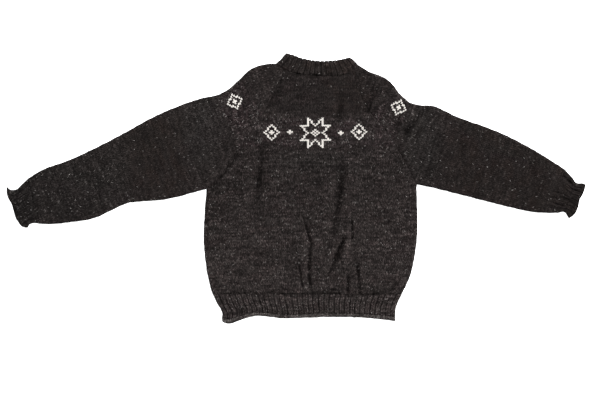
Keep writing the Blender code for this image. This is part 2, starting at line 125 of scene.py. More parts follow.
# Roll along the hem: a groove, then a bead. Columns: share of the rib's length, rise
HEM_ROLL = ((0.0, 0.0), (0.80, 0.0), (0.855, -0.0024), (0.91, 0.0008), (0.95, 0.0014), (1.0, -0.0006))
HEM_ROLL_START, HEM_ROLL_EASE = 0.84, 0.03
HEM_ROLL_FLATTENS = 0.85
# Painted light: the rolled hem's flat face is coloured lighter by this share
HEM_ROLL_BRIGHT = 0.55
ROPE_PITCH = 0.0068
ROPE_SLANT = 1.2
ROPE_RELIEF = 0.0005

# Outline seen from above, one table for each side of the wearer. Every list runs away from the underarm, or
# from the shoulder at the neck for the upper edge. Columns, in millimetres: x, y
OUTLINE = {
    "right": {
        "side": (
            (-224, -0.5), (-228.8, -64.5), (-231.2, -124.5),
            (-227.5, -174.5), (-219.5, -227), (-208.8, -264.5),
        ),
        "rib_side": ((-208.8, -264.5), (-196.2, -289.4), (-186, -306), (-185, -333)),
        "raglan": ((-224, -0.5), (-173.8, 63.1), (-78.8, 195.6), (-30, 297)),
        "under": (
            (-224, -0.5), (-266, -13), (-341, -29.2), (-390, -32.5), (-417, -35.6),
            (-466, -56.9), (-500, -72.5), (-566, -84.4), (-616, -89.3), (-640, -88.5),
        ),
        "over": (
            (-51.2, 310.6), (-72, 309.8), (-116.2, 295.1), (-145, 268.1), (-167, 249), (-190, 235.2),
            (-241.2, 223.1), (-329, 190.6), (-466.2, 118.1), (-566, 70.6), (-641.2, 41.9), (-670, 23.8),
        ),
        "cuff_under": ((-640, -88.5), (-657, -86.5), (-666, -89.5), (-672.5, -99.2)),
        "cuff_over": ((-670, 23.8), (-690, 4), (-700, -4), (-716, -3), (-723.2, 3.1)),
        "cuff_end": (
            (-672.5, -99.2), (-685, -96), (-694.5, -84), (-711.2, -38.1), (-722.8, -14.4), (-723.2, 3.1)
        ),
        "neck_side": ((-51.2, 310.6), (-36, 324), (-26.2, 336.9)),
    },
    "left": {
        "side": ((300, 9.4), (300, -30), (301.2, -114.5), (296.2, -159.4), (283.8, -216.9), (262.5, -264.5)),
        "rib_side": ((262.5, -264.5), (253.7, -281.9), (247.5, -300), (245.8, -331.4)),
        "raglan": ((300, 9.4), (221.2, 145.6), (178.8, 195.6), (137.5, 291.5)),
        "under": (
            (300, 9.4), (333.8, 3.1), (408.8, -15.6), (508.8, -40.6),
            (558.8, -53.1), (595, -60), (631.2, -61.1),
        ),
        "over": (
            (153.8, 306.9), (183.8, 289.4), (205, 281.5), (223.8, 273.1), (267, 226.6), (286.2, 212.4),
            (305.2, 207.6), (338.8, 205.1), (396.2, 179.9), (508.8, 138.1), (608.8, 85.6), (668.8, 47.4),
        ),
        "cuff_under": ((631.2, -61.1), (652, -60.6), (668, -59), (681.2, -74.4)),
        "cuff_over": ((668.8, 47.4), (689, 25), (699, 13), (710, 12.2), (722.5, 9.4)),
        "cuff_end": ((681.2, -74.4), (690, -69), (700, -54), (706.2, -30), (718, -7), (722.5, 9.4)),
        "neck_side": ((153.8, 306.9), (145, 317), (133.8, 326.9)),
    },
}

# Base and top edge of the neckband and lower edge of the waist rib, from the wearer's right to the left.
# Columns, in millimetres: x, y
NECK_BASE = (
    (-51.2, 310.6), (-30, 297), (1.2, 286.4), (48.8, 281.9), (116.2, 283.1), (137.5, 291.5), (153.8, 306.9)
)
NECK_TOP = (
    (-26.2, 336.9), (-1.2, 329.4), (23.8, 321.9), (48.8, 318.1), (83.8, 317.4), (108.8, 320.6), (133.8, 326.9)
)
HEM = (
    (-185, -333), (-176.2, -337.6), (-146.2, -330.6), (-116.2, -320.6),
    (-28.8, -324.9), (71.2, -321.4), (186.2, -324.4), (245.8, -331.4),
)

# Creases of the upper layer: a valley between two soft ridges, along a bend through three points.
# Columns, in millimetres: start x, y; middle x, y; end x, y; distance from valley to ridge; height of a ridge
CREASES = MM * np.array((
    (-92, 105, -107, 10, -106, -90, 22, 3.6),
    (8, -74, 29, -150, 28, -262, 16, 3.6),
    (106, 100, 102, -30, 76, -150, 22, 5.2),
    (116, -118, 96, -170, 69, -235, 12, 4.8),
    (127, -82, 140, -170, 140, -262, 16, 3.6),
    (109, 221, 105, 195, 101, 176, 12, 4),
    (-159, 56, -196, 26, -224, -4, 14, 4.5),
    (307, 188, 285, 164, 260, 139, 14, 6),
    (401, 130, 401, 96, 395, 56, 20, 3),
    (-430, 115, -442, 50, -435, -10, 24, 2.2),
    (-585, 45, -595, 0, -585, -45, 16, 2.2),
    (570, 70, 590, 25, 585, -25, 18, 2.6),
    (260, 60, 284, 33, 299, 6, 12, 1.6),
))
CREASE_SAMPLES = 13
CREASE_EASE = 1 / 3
CREASE_SOFTNESS = 0.25

# Where the plain knitting meets a band. Columns, in millimetres: x, y of the two ends
WAIST_JOIN = (-208.8, -264.5, 262.5, -264.5)
RIGHT_CUFF_JOIN = (-670, 23.8, -640, -88.5)
LEFT_CUFF_JOIN = (668.8, 47.4, 631.2, -61.1)

# Puffs where the cloth is drawn in by a band. Columns, in millimetres: join, distance from the join to the
# crest, height of the crest, how far the dip at the join is rounded off
GATHERS = MM * np.array((
    (*WAIST_JOIN, 14, 5, 2),
    (*RIGHT_CUFF_JOIN, 10, 2.6, 10),
    (*LEFT_CUFF_JOIN, 10, 3.6, 7),
))

# Unevenness along a puff, round this mean. Columns: share, length of the wave, phase
GATHER_MEAN = 0.75
GATHER_WAVES = ((0.18, 0.021, 0.0), (0.12, 0.0083, 1.3))

# Small puckers at the same joins. Columns, in millimetres: join, reach, depth
PUCKERS = MM * np.array((
    (*WAIST_JOIN, 11, 2.6),
    (*RIGHT_CUFF_JOIN, 12, 1.2),
    (*LEFT_CUFF_JOIN, 17, 3.6),
))
PUCKER_WIDTH = 0.0078
PUCKER_BETWEEN = 0.25
PUCKER_SHARPNESS = 0.5

# Wandering grooves of uneven depth along joins. Columns, in millimetres: join, width, depth, wander
GROOVES = MM * np.array((
    (*WAIST_JOIN, 3.6, 3.2, 2.6),
    (1.2, 285.4, 48.8, 280.8, 3, 4, 0.6),
    (48.8, 280.8, 125, 282, 3, 4, 0.6),
))
GROOVE_WANDER_RUN = 0.013
GROOVE_UNEVEN_RUN = 0.019
# Painted shade: the yarn's colour is darkened by up to this share in the deepest part of a groove
GROOVE_SHADE = 0.48

# Sharper folds that lie in and beside the creases: a narrow trough, with the cloth swelling up to its left.
# Columns: start x, y; middle x, y; end x, y; half width; depth; all in millimetres; share of the swelling
PINCHES = (MM, MM, MM, MM, MM, MM, MM, MM, 1) * np.array((
    (-83, 137, -96, 47, -103, -70, 8.5, 5.4, 0.2),
    (11, -56, 25.5, -106, 40, -148, 2.8, 3.8, 0.3),
    (39, -125, 29, -185, 37, -280, 4, 5.6, 0.2),
    (4.5, -180, 9.5, -219.4, 15.8, -263, 3.2, 4.6, 0.3),
    (108, 105, 109, 40, 101, -20, 7.5, 1.2, 0.2),
    (111, 56, 94.5, -43, 73, -164, 9.4, 6.8, 0.3),
    (122, -112, 105.5, -150, 88.5, -188, 6, 12, 0.4),
    (100, -166, 85, -200, 69, -239, 2.2, 2.2, 0.4),
    (104, -162.4, 111.3, -184.4, 120.5, -214.4, 2.6, 2.6, 0.3),
    (132.5, -65.9, 138.2, -101.9, 135, -140.4, 2.8, 4.6, 0.3),
    (147.5, -174.4, 153, -220, 154.5, -275, 4, 4.8, 0.3),
    (127.8, -205, 126.3, -242, 125, -278, 4.4, 6.8, 0),
    (48, -264, 76.3, -256, 108, -250, 3.2, 5, 0.3),
    (204, -269, 234, -250, 264, -218, 4.8, 10, 0.3),
    (109, 252, 102, 203, 96, 158, 10.5, 5.2, 0.2),
    (186, 272, 178, 223, 169, 174, 9.6, 5.6, 0.2),
    (186, 209, 180, 196, 174, 183, 2.6, 5, 0.2),
    (-140, 100, -180, 43, -221, -2, 4.2, 10.5, 0.2),
    (-36, 282, -59, 235, -85, 184, 8.5, 7.6, 0),
    (338, 216, 295, 170, 256, 125, 5, 11, 0.3),
    (-221.3, -60, -224, -113, -223.5, -165, 2, 3.6, 0),
    (658.8, 33.1, 673.8, 20.6, 691.3, 5.6, 2.8, 4, 0.3),
    (673.8, 0.6, 691.3, -4.4, 708.8, -9.4, 2.2, 3.4, 0.3),
    (648.8, -19.4, 666.3, -25.6, 686.3, -31.9, 2.8, 3.6, 0.3),
    (638.8, -36.9, 656.3, -41.9, 673.8, -49.4, 2.6, 3.2, 0.3),
))

# How a sharper fold eases out and varies along its length, where its swelling stands and how wide that is,
# in half widths, and how far painted shade darkens the yarn's colour in it
PINCH_EASE = 0.32
PINCH_UNEVEN = 0.15
PINCH_WAVES = 9.0
PINCH_PHASE = 40.0
RIDGE_PLACE, RIDGE_WIDTH = 1.9, 1.3
PINCH_SHADE = 0.20
PINCH_SHADE_LIMIT = 0.45

# Shallow creases of the side that lies down, where it is pressed up a little into the garment.
# Columns, in millimetres: start x, y; middle x, y; end x, y; half width; height; swelling, which is none
UNDER_CREASES = MM * np.array((
    (-125, 90, -112, 5, -118, -105, 9.5, 1.7, 0),
    (15, 40, 2, -70, 9, -175, 7.5, 1.3, 0),
    (64, -85, 78, -170, 72, -250, 6, 1.6, 0),
    (135, 125, 150, 15, 139, -85, 10, 1.8, 0),
    (225, -30, 215, -120, 195, -215, 8, 1.4, 0),
    (25, 235, 32, 185, 24, 140, 7, 1.2, 0),
    (-70, -140, -62, -195, -71, -245, 5.5, 1.5, 0),
    (-305, 145, -315, 80, -302, 25, 9, 1.5, 0),
    (-460, 80, -475, 30, -466, -15, 7.5, 1.2, 0),
    (-605, 25, -615, -15, -606, -50, 6, 1.4, 0),
    (370, 135, 382, 85, 373, 40, 8.5, 1.6, 0),
    (480, 100, 495, 50, 485, 10, 7, 1.2, 0),
    (605, 45, 615, 10, 606, -30, 6, 1.4, 0),
))

# The upper layer also arches a little between its folds, and creases fade out towards a folded edge
CROWN = 0.0014
CROWN_REACH = 0.050
CREASE_REACH = 0.028
PINCH_REACH = 0.012

# Duplicate stitches in off-white yarn, charted as the upper right quarter of each motif. A hash is a
# worked stitch; the lowest row and the first column run through the motif's middle
STAR_QUARTER = (
    "....#....",
    "...##....",
    "..#.#....",
    "..#.#....",
    ".#..#....",
    "#...#####",
    ".......#.",
    "......#..",
    "#.....#..",
    ".#...#...",
    "#.#.#....",
)
DIAMOND_QUARTER = (
    "#....",
    ".#...",
    "..#..",
    "..#..",
    "#..#.",
    "##..#",
)
SEED_QUARTER = (
    "#.",
    "##",
)

# Where the motifs stand: the piece, the place of the middle, the chart
MOTIFS = (
    ("body", (0.0462, 0.1380), STAR_QUARTER),
    ("body", (-0.0180, 0.1380), SEED_QUARTER),
    ("body", (0.1104, 0.1380), SEED_QUARTER),
    ("body", (-0.0640, 0.1380), DIAMOND_QUARTER),
    ("body", (0.1564, 0.1380), DIAMOND_QUARTER),
    ("right", (-0.1560, 0.2130), DIAMOND_QUARTER),
    ("left", (0.2560, 0.2010), DIAMOND_QUARTER),
)
MOTIF_YARN = (0.86, 0.82, 0.77)
MOTIF_YARN_WIDTH = 0.0025
MOTIF_YARN_HEIGHT = 0.0010
MOTIF_LEG_RINGS = 7
MOTIF_LEG_SIDES = 8

# Leg of a worked stitch, in stitches across and rows up from the middle of its base, and its twists and taper
MOTIF_LEG_START = (0.06, 0.18)
MOTIF_LEG_REACH = (0.40, 1.17)
MOTIF_TWISTS = 4.0
MOTIF_TAPER = 0.12
MOTIF_RAISED = 0.35

# The yoke band, between two lines on each sleeve and two heights on the front. Columns: x, y of a line's ends
BAND_LOW, BAND_HIGH = 0.0980, 0.1800
BAND_BLUR = 0.012
BAND_LINES = {
    "right": ((-0.1388, 0.2706, -0.0788, 0.1881), (-0.2038, 0.2256, -0.1538, 0.1081)),
    "left": ((0.1762, 0.1881, 0.2462, 0.2456), (0.2462, 0.1206, 0.3088, 0.2031)),
}

# Broad changes of the yarn, as between dye lots. Columns: x, y of the middle; reach across and up; change of
# brightness; share of brown yarn; share of cool grey yarn
DYE_LOTS = (
    (-0.6950, -0.0400, 0.050, 0.080, -0.22, 0.0, 1.3),
    (-0.5700, -0.0100, 0.105, 0.100, -0.12, 0.0, 0.8),
    (-0.4500, 0.0350, 0.045, 0.100, 0.02, 0.0, 0.5),
    (-0.3450, 0.0800, 0.090, 0.120, -0.06, 1.0, 0.0),
    (-0.2380, 0.1500, 0.055, 0.110, 0.08, 0.0, 0.9),
    (0.3150, 0.1150, 0.050, 0.110, 0.03, 0.0, 0.9),
    (0.0300, 0.0680, 0.110, 0.030, 0.00, 0.0, 0.6),
    (-0.2050, -0.2350, 0.030, 0.050, 0.22, 0.0, 0.0),
    (0.1200, 0.2350, 0.060, 0.060, -0.05, 0.8, 0.0),
    (0.0500, 0.3100, 0.130, 0.028, -0.06, 0.9, 0.0),
    (0.4500, 0.0800, 0.095, 0.120, -0.12, 0.9, 0.0),
    (0.6000, 0.0200, 0.080, 0.110, -0.16, 0.9, 0.0),
    (0.6950, -0.0200, 0.042, 0.080, -0.30, 1.0, 0.0),
)

# Yarn colours, linear, and the look of a stitch
YARN = (0.0150, 0.0118, 0.0114)
BROWN_YARN = (0.0150, 0.0112, 0.0101)
MAUVE_YARN = (0.0152, 0.0112, 0.0114)
COOL_YARN = (0.0144, 0.0128, 0.0122)
FLECK = (0.25, 0.235, 0.225)
STITCH_SLANT = 0.75
STITCH_DEPTH = 0.0011
# Painted shade: in the gaps between a stitch's strands the colour falls to this share
GAP_SHADE = 0.40
SHORT_RUN, LONG_RUN = 2.2, 6.5
BROWN_CALM = 0.3
BROWN_FLECK_LOSS = 0.6
PLY_SPREAD = 1.8
OWN_SPREAD = 1.2
SHORT_SPREAD = 0.6
LONG_SPREAD = 0.85
STREAK_SPREAD = 0.8
PATCH_SPREAD = 0.3
RUN_FLECKS = 0.06
LEG_FLECKS = 0.055

# Plain knitting and its changes in the yoke band, above it and low on the body.
# Columns: brightness, contrast, flecks
PLAIN_LOOKS = {"body": (1.03, 0.91, 0.30), "right": (1.04, 0.80, 0.30), "left": (0.90, 0.80, 0.30)}
BAND_CHANGE = {"body": (0.10, 0.0, 0.70), "right": (0.16, 0.20, 0.60), "left": (0.16, 0.20, 0.60)}
ABOVE_CHANGE = (-0.12, -0.20, -0.15)
# Painted light: LOW_CHANGE colours the lower body lighter, where more light falls on it
LOW_CHANGE = (0.25, 0.0, 0.0)
ABOVE_BLUR = 0.010
LOW_START, LOW_REACH = 0.04, 0.20

# Size that each piece was knitted to, in metres and square metres.
# Columns: node, width, length, area, what it lies on
CUTS = (
    ("front", 0.532, 0.575, 0.240, ("back",)),
    ("back", 0.532, 0.575, 0.240, ()),
    ("sleeve_right", 0.640, 0.660, 0.225, ()),
    ("sleeve_left", 0.640, 0.600, 0.184, ()),
    ("waist_rib", 0.950, 0.090, None, ("back",)),
    ("neckband", 0.410, 0.056, None, ("front", "back")),
    ("cuff_right", 0.235, 0.062, None, ()),
    ("cuff_left", 0.235, 0.062, None, ()),
)

# Room, camera and lamp
FLOOR_SIZE = 30.0
FLOOR_GLOW = 1.1
FLOOR_DROP = 0.0002
ROOM_LIGHT = 0.66
LAMP_SIZE = 3.2
LAMP_POWER = 1650.0
LAMP_PLACE = (6.4, 3.4, 5.0)
CAMERA_HEIGHT = 3.0
CAMERA_LENS = 72.0
VIEW_CENTRE = (0.00875, -0.0456)


def smooth(value):
    """Eases from 0 to 1 as the value goes from 0 to 1."""
    value = np.clip(value, 0.0, 1.0)
    return value * value * (3 - 2 * value)


class Path:
    """A smooth curve through a few outline points in millimetres, read by the distance along it."""

    SAMPLES = 10

    def __init__(self, points):
        points = MM * np.array(points)
        spans = np.linalg.norm(np.diff(points, axis=0), axis=1)
        slopes = np.diff(points, axis=0) / spans[:, None]
        tangents = np.vstack([slopes[:1], slopes[:1].repeat(len(points) - 2, 0), slopes[-1:]])
        for i in range(1, len(points) - 1):
            before, after = spans[i - 1], spans[i]
            tangents[i] = (slopes[i - 1] * after + slopes[i] * before) / (before + after)
        dense = [points[0]]
        for i, span in enumerate(spans):
            for step in range(1, self.SAMPLES + 1):
                s = step / self.SAMPLES
                dense.append(
                    (2 * s**3 - 3 * s**2 + 1) * points[i]
                    + (s**3 - 2 * s**2 + s) * span * tangents[i]
                    + (3 * s**2 - 2 * s**3) * points[i + 1]
                    + (s**3 - s**2) * span * tangents[i + 1]
                )
        self.dense = np.array(dense)
        self.run = np.concatenate([[0], np.cumsum(np.linalg.norm(np.diff(self.dense, axis=0), axis=1))])
        self.length = self.run[-1]

    def at(self, distance):
        """Points at these distances from the start."""
        return np.stack([np.interp(distance, self.run, self.dense[:, axis]) for axis in (0, 1)], -1)

    def share(self, fraction):
        """Points at these shares of the whole length."""
        return self.at(np.asarray(fraction) * self.length)


def unit(vectors):
    return vectors / np.linalg.norm(vectors, axis=-1, keepdims=True)


PATHS = {side: {name: Path(points) for name, points in lines.items()} for side, lines in OUTLINE.items()}
NECK = Path(NECK_BASE)
NECK_CORNERS = NECK.run[Path.SAMPLES], NECK.run[-1 - Path.SAMPLES]

# The solids stand over the middle of the outline, so the outline's own numbers are moved by this
SHIFT = MM * np.array((OUTLINE["left"]["cuff_over"][-1][0], NECK_TOP[0][1])) - CAD_BOX[1][:2]


def fold_segments():
    """Ends of the short straight pieces that make up every folded edge of the garment."""
    starts, ends = [], []
    for lines in PATHS.values():
        for name in ("side", "rib_side", "under", "over", "cuff_under", "cuff_over", "neck_side"):
            starts.append(lines[name].dense[:-1])
            ends.append(lines[name].dense[1:])
    return np.vstack(starts), np.vstack(ends)


FOLD_STARTS, FOLD_ENDS = fold_segments()


def nearest_segment(points, starts, ends):
    """Distance from each point to the nearest segment, that segment's number and the share along it."""
    span = ends - starts
    square = (span * span).sum(-1)
    found = []
    for first in range(0, max(len(points), 1), CHUNK):
        offset = points[first : first + CHUNK, None] - starts
        along = np.clip((offset * span).sum(-1) / square, 0, 1)
        away = offset - along[..., None] * span
        gap = np.einsum("ijk,ijk->ij", away, away)
        nearest = gap.argmin(axis=1)
        rows = np.arange(len(nearest))
        found.append((np.sqrt(gap[rows, nearest]), nearest, along[rows, nearest]))
    return [np.concatenate(part) for part in zip(*found)]


def edge_distance(points):
    """Depth of each point in from the nearest folded edge."""
    flat = points.reshape(-1, 2)
    low, high = flat.min(0) - 2 * CROWN_REACH, flat.max(0) + 2 * CROWN_REACH
    close = ((FOLD_STARTS > low) & (FOLD_STARTS < high)).all(1)
    return nearest_segment(flat, FOLD_STARTS[close], FOLD_ENDS[close])[0].reshape(points.shape[:-1])


def bend(row):
    """Points along a bend through the three that a row starts with."""
    share = np.linspace(0, 1, CREASE_SAMPLES)[:, None]
    start, middle, end = row[:6].reshape(3, 2)
    control = 2 * middle - (start + end) / 2
    return (1 - share) ** 2 * start + 2 * share * (1 - share) * control + share**2 * end


def beside_bend(points, row, reach):
    """Which points lie near a bend; their distance from it, the share along it, and 1 on its left or -1."""
    line = bend(row)
    close = ((points > line.min(0) - reach) & (points < line.max(0) + reach)).all(1)
    gap, number, share = nearest_segment(points[close], line[:-1], line[1:])
    way, offset = np.diff(line, axis=0)[number], points[close] - line[number]
    side = np.sign(way[:, 0] * offset[:, 1] - way[:, 1] * offset[:, 0])
    return close, gap, (number + share) / (len(line) - 1), side


def crease_lift(points, row):
    """A valley between two soft ridges."""
    reach, height = row[6:]
    close, gap, along, _ = beside_bend(points, row, 4 * reach)
    across = np.hypot(gap / reach, CREASE_SOFTNESS) - CREASE_SOFTNESS
    ease = smooth(np.minimum(along, 1 - along) / CREASE_EASE)
    lift = np.zeros(len(points))
    lift[close] = height * across * np.exp(0.5 * (1 - across**2)) * ease
    return lift


def pinch_lift(points, row):
    """A narrow trough, and a swelling to its left."""
    reach, depth, swelling = row[6:]
    close, gap, along, side = beside_bend(points, row, 6 * reach)
    ease = smooth(np.minimum(along, 1 - along) / PINCH_EASE)
    uneven = 1 - PINCH_UNEVEN * (1 - np.sin(along * PINCH_WAVES + PINCH_PHASE * row[0]))
    trough = -np.exp(-((gap / reach) ** 2))
    ridge = swelling * np.exp(-(((side * gap / reach - RIDGE_PLACE) / RIDGE_WIDTH) ** 2))
    lift = np.zeros(len(points))
    lift[close] = depth * (trough + ridge) * ease * uneven
    return lift


def painted_fold_shade(points):
    """Painted shade: the share of its brightness that the yarn's colour keeps deep in the sharper folds and
    joins of the upper layer.
    """
    keep = np.ones(len(points))
    upper = points[:, 2] > MID
    plan = points[upper, :2]
    for row in PINCHES:
        reach, depth = row[6:8]
        steep = min(PINCH_SHADE * depth / reach, PINCH_SHADE_LIMIT)
        keep[upper] *= 1 + steep * np.minimum(pinch_lift(plan, row) / depth, 0)
    for row in GROOVES:
        keep[upper] *= 1 + GROOVE_SHADE * groove_lift(plan, row) / row[5]
    return keep


def beside_join(points, row):
    """Distance of points from a join, how far along it they lie, and 1 on its left or -1."""
    start, end = row[:4].reshape(2, 2)
    gap, _, share = nearest_segment(points, start[None], end[None])
    way, offset = end - start, points - start
    side = np.sign(way[0] * offset[:, 1] - way[1] * offset[:, 0])
    return gap, share * np.linalg.norm(way), side


def pucker_lift(points, row):
    """Short uneven troughs that run away from a join."""
    reach, depth = row[4:]
    gap, run, _ = beside_join(points, row)
    between = smooth(np.abs(line_noise(run, PUCKER_WIDTH, 21)) / PUCKER_SHARPNESS)
    return -depth * (1 - (1 - PUCKER_BETWEEN) * between) * np.exp(-((gap / reach) ** 2))


def groove_lift(points, row):
    """A wandering groove of uneven depth along a join."""
    width, depth, wander = row[4:]
    gap, run, side = beside_join(points, row)
    across = side * gap - wander * line_noise(run, GROOVE_WANDER_RUN, 22)
    uneven = 0.50 + 0.50 * line_noise(run, GROOVE_UNEVEN_RUN, 23)
    return -depth * uneven * np.exp(-((across / width) ** 2))


def gather_lift(points, row):
    """A puff beside a join."""
    reach, height, rounding = row[4:]
    gap, run, _ = beside_join(points, row)
    away = np.hypot(gap, rounding) / reach
    waves = sum(share * np.sin(run / length + phase) for share, length, phase in GATHER_WAVES)
    return height * (GATHER_MEAN + waves) * away * np.exp(1 - away)


def total(lift_of, rows, points):
    """Sum of one kind of fold over its table."""
    return sum(lift_of(points, row) for row in rows)


def cloth_lift(points, edge):
    """How far the upper layer rises over its plain height."""
    folds = total(crease_lift, CREASES, points) + total(gather_lift, GATHERS, points)
    return CROWN * smooth(edge / CROWN_REACH) + folds * smooth(edge / CREASE_REACH)


def fold_lift(points, edge):
    """The sharper folds and puckers of the upper layer."""
    folds = total(pinch_lift, PINCHES, points) + total(pucker_lift, PUCKERS, points)
    return (folds + total(groove_lift, GROOVES, points)) * smooth(edge / PINCH_REACH)


def under_lift(points, edge):
    """How far the layer that lies down is pressed up in its creases."""
    return -total(pinch_lift, UNDER_CREASES, points) * smooth(edge / PINCH_REACH)


def curl(depth, radius):
    """Height over the middle plane, at this depth in from a folded edge that turns with this radius."""
    inside = radius - np.clip(depth, 0, radius)
    return np.sqrt(radius**2 - inside**2)


def settle(height, rise):
    """Ends a trough softly where the layers would meet."""
    lowest = MID + TROUGH_FLOOR * rise
    over = height - lowest
    return lowest + (over + np.sqrt(over**2 + TROUGH_SOFTNESS**2 * rise / FOLD_RADIUS)) / 2


def upper_height(plan, edge, rise):
    """Height of the upper layer over the floor."""
    return settle(MID + rise + cloth_lift(plan, edge) + fold_lift(plan, edge), rise)


def edge_bumps(plan, edge):
    """How far a folded edge stands out, stitch by stitch."""
    return EDGE_UNEVEN * (1 + value_noise(plan, EDGE_BUMP, 5)) * (1 - smooth(edge / EDGE_REACH))


def value_noise(points, cell, seed):
    """Smooth uneven field from -1 to 1 over plan points, with features about one cell across."""
    table = np.random.default_rng(seed).uniform(-1, 1, (64, 64))
    place = points / np.asarray(cell) + 1000
    base = np.floor(place).astype(int)
    part = smooth(place - base)
    i, j = base[..., 0] % 64, base[..., 1] % 64
    k, m = (i + 1) % 64, (j + 1) % 64
    s, t = part[..., 0], part[..., 1]
    return (table[i, j] * (1 - s) + table[k, j] * s) * (1 - t) + (table[i, m] * (1 - s) + table[k, m] * s) * t


def line_noise(run, cell, seed):
    """The same kind of field along a line."""
    return value_noise(np.column_stack([run, np.zeros(len(run))]), (cell, 1.0), seed)


def swell(points):
    """Slight unevenness of cloth that was worn and laid down by hand."""
    return SWELL * (value_noise(points, (0.045, 0.090), 3) + 0.5 * value_noise(points, (0.021, 0.034), 4))


def stitch_noise(knit, seed):
    """A number from -1 to 1 for each stitch."""
    table = np.random.default_rng(seed).uniform(-1, 1, (128, 128))
    cell = np.floor(knit + 1e-4).astype(int) % 128
    return table[cell[..., 0], cell[..., 1]]


class BodyGrain:
    """Stitches of the front and back: wales run up the body and draw together a little at the waist."""

    MIDDLE = 0.0400
    HEIGHTS = (-0.3400, -0.2645, -0.2000, -0.1200, 0.0000, 0.3400)
    WIDTHS = (0.90, 0.91, 0.97, 1.00, 0.99, 0.98)
    DRIFTS = ((0.0016, 0.1100, 0.6), (0.00064, 0.0370, 0.0))

    def drift(self, x):
        """How far the rows rise and fall across the body, in waves of this height, length and phase."""
        return sum(height * np.sin(x / length + phase) for height, length, phase in self.DRIFTS)

    def knit(self, plan):
        x, y = plan[..., 0], plan[..., 1]
        u = (x - self.MIDDLE) / (STITCH_WIDTH * np.interp(y, self.HEIGHTS, self.WIDTHS))
        return np.stack([u, (y - self.drift(x)) / ROW_HEIGHT], -1)

    def plan(self, knit):
        u, v = knit[..., 0], knit[..., 1]
        x = self.MIDDLE + u * STITCH_WIDTH
        for _ in range(4):
            y = v * ROW_HEIGHT + self.drift(x)
            x = self.MIDDLE + u * STITCH_WIDTH * np.interp(y, self.HEIGHTS, self.WIDTHS)
        return np.stack([x, y], -1)


class SleeveGrain:
    """Stitches of a sleeve: wales run along its axis, from the cuff to the neck."""

    BEND, BEND_LENGTH = 0.0018, 0.0450

    def __init__(self, origin, degrees):
        self.origin = np.array(origin)
        angle = math.radians(degrees)
        self.along = np.array((math.cos(angle), math.sin(angle)))
        self.across = np.array((-self.along[1], self.along[0]))

    def bend(self, across):
        return self.BEND * np.sin(across / self.BEND_LENGTH)

    def knit(self, plan):
        offset = plan - self.origin
        across = offset @ self.across
        along = offset @ self.along - self.bend(across)
        return np.stack([across / STITCH_WIDTH, along / ROW_HEIGHT], -1)

    def plan(self, knit):
        across, along = knit[..., 0] * STITCH_WIDTH, knit[..., 1] * ROW_HEIGHT
        along = along + self.bend(across)
        return self.origin + across[..., None] * self.across + along[..., None] * self.along


BODY_GRAIN = BodyGrain()
SLEEVE_GRAINS = {"right": SleeveGrain((-0.40, 0.05), 21), "left": SleeveGrain((0.40, 0.09), 161)}


def inside_outline(points, outline):
    """Which points lie inside a closed outline."""
    x, y = points[:, 0], points[:, 1]
    inside = np.zeros(len(points), bool)
    for (x0, y0), (x1, y1) in zip(outline, np.roll(outline, -1, axis=0)):
        if y0 != y1:
            cross = (y0 > y) != (y1 > y)
            inside ^= cross & (x < x0 + (y - y0) * (x1 - x0) / (y1 - y0))
    return inside


def lattice(paths, grain, steps):
    """Quads of a stitch lattice inside a closed row of paths, its border drawn onto them.

    Returns the plan points, the quads and the border's edges, all turned to face up.
    """
    outline = np.vstack([path[:-1] for path in paths])
    coarse = grain.knit(outline)
    low, high = np.floor(coarse.min(0) / steps) - 1, np.ceil(coarse.max(0) / steps) + 1
    us, vs = (np.arange(a, b + 1) * step for a, b, step in zip(low, high, steps))
    nodes = grain.plan(np.stack(np.meshgrid(us, vs, indexing="ij"), -1))
    centres = (nodes[:-1, :-1] + nodes[1:, :-1] + nodes[:-1, 1:] + nodes[1:, 1:]) / 4
    keep = inside_outline(centres.reshape(-1, 2), outline).reshape(centres.shape[:2])
    number = np.arange(nodes.shape[0] * nodes.shape[1]).reshape(nodes.shape[:2])
    quads = np.stack([number[:-1, :-1], number[1:, :-1], number[1:, 1:], number[:-1, 1:]], -1)[keep]
    used, quads = np.unique(quads, return_inverse=True)
    quads = quads.reshape(-1, 4)
    plan = nodes.reshape(-1, 2)[used]
    first, second = plan[quads[:, 1]] - plan[quads[:, 0]], plan[quads[:, 2]] - plan[quads[:, 0]]
    if (first[:, 0] * second[:, 1] - first[:, 1] * second[:, 0]).mean() < 0:
        quads = quads[:, ::-1]
    edges = np.concatenate([quads[:, [i, (i + 1) % 4]] for i in range(4)])
    _, place, count = np.unique(np.sort(edges, axis=1), axis=0, return_index=True, return_counts=True)
    border = edges[place[count == 1]]
    rim = np.unique(border)
    starts, ends = outline, np.roll(outline, -1, axis=0)
    _, segment, share = nearest_segment(plan[rim], starts, ends)
    plan[rim] = starts[segment] + share[:, None] * (ends - starts)[segment]
    for path in paths:
        plan[rim[np.linalg.norm(plan[rim] - path[0], axis=1).argmin()]] = path[0]
    return plan, quads, border


def add(name, data):
    """A new object in the scene."""
    item = bpy.data.objects.new(name, data)
    bpy.context.scene.collection.objects.link(item)
    return item


def new_mesh(name, points, quads, attributes, material):
    """A mesh object from arrays, with its point attributes, moved to the place of the solids."""
    mesh = bpy.data.meshes.new(name)
    places = np.array(points, float)
    places[:, :2] -= SHIFT
    quads = np.asarray(quads)
    mesh.vertices.add(len(places))
    mesh.vertices.foreach_set("co", places.ravel())
    mesh.loops.add(quads.size)
    mesh.loops.foreach_set("vertex_index", quads.ravel().astype(np.int32))
    mesh.polygons.add(len(quads))
    mesh.polygons.foreach_set("loop_start", np.arange(0, quads.size, quads.shape[1], dtype=np.int32))
    mesh.update(calc_edges=True)
    for key, values in attributes.items():
        layer = mesh.attributes.new(key, "FLOAT_VECTOR", "POINT")
        layer.data.foreach_set("vector", np.ascontiguousarray(values, np.float32).ravel())
    mesh.validate()
    mesh.shade_smooth()
    mesh.materials.append(material)
    return add(name, mesh)


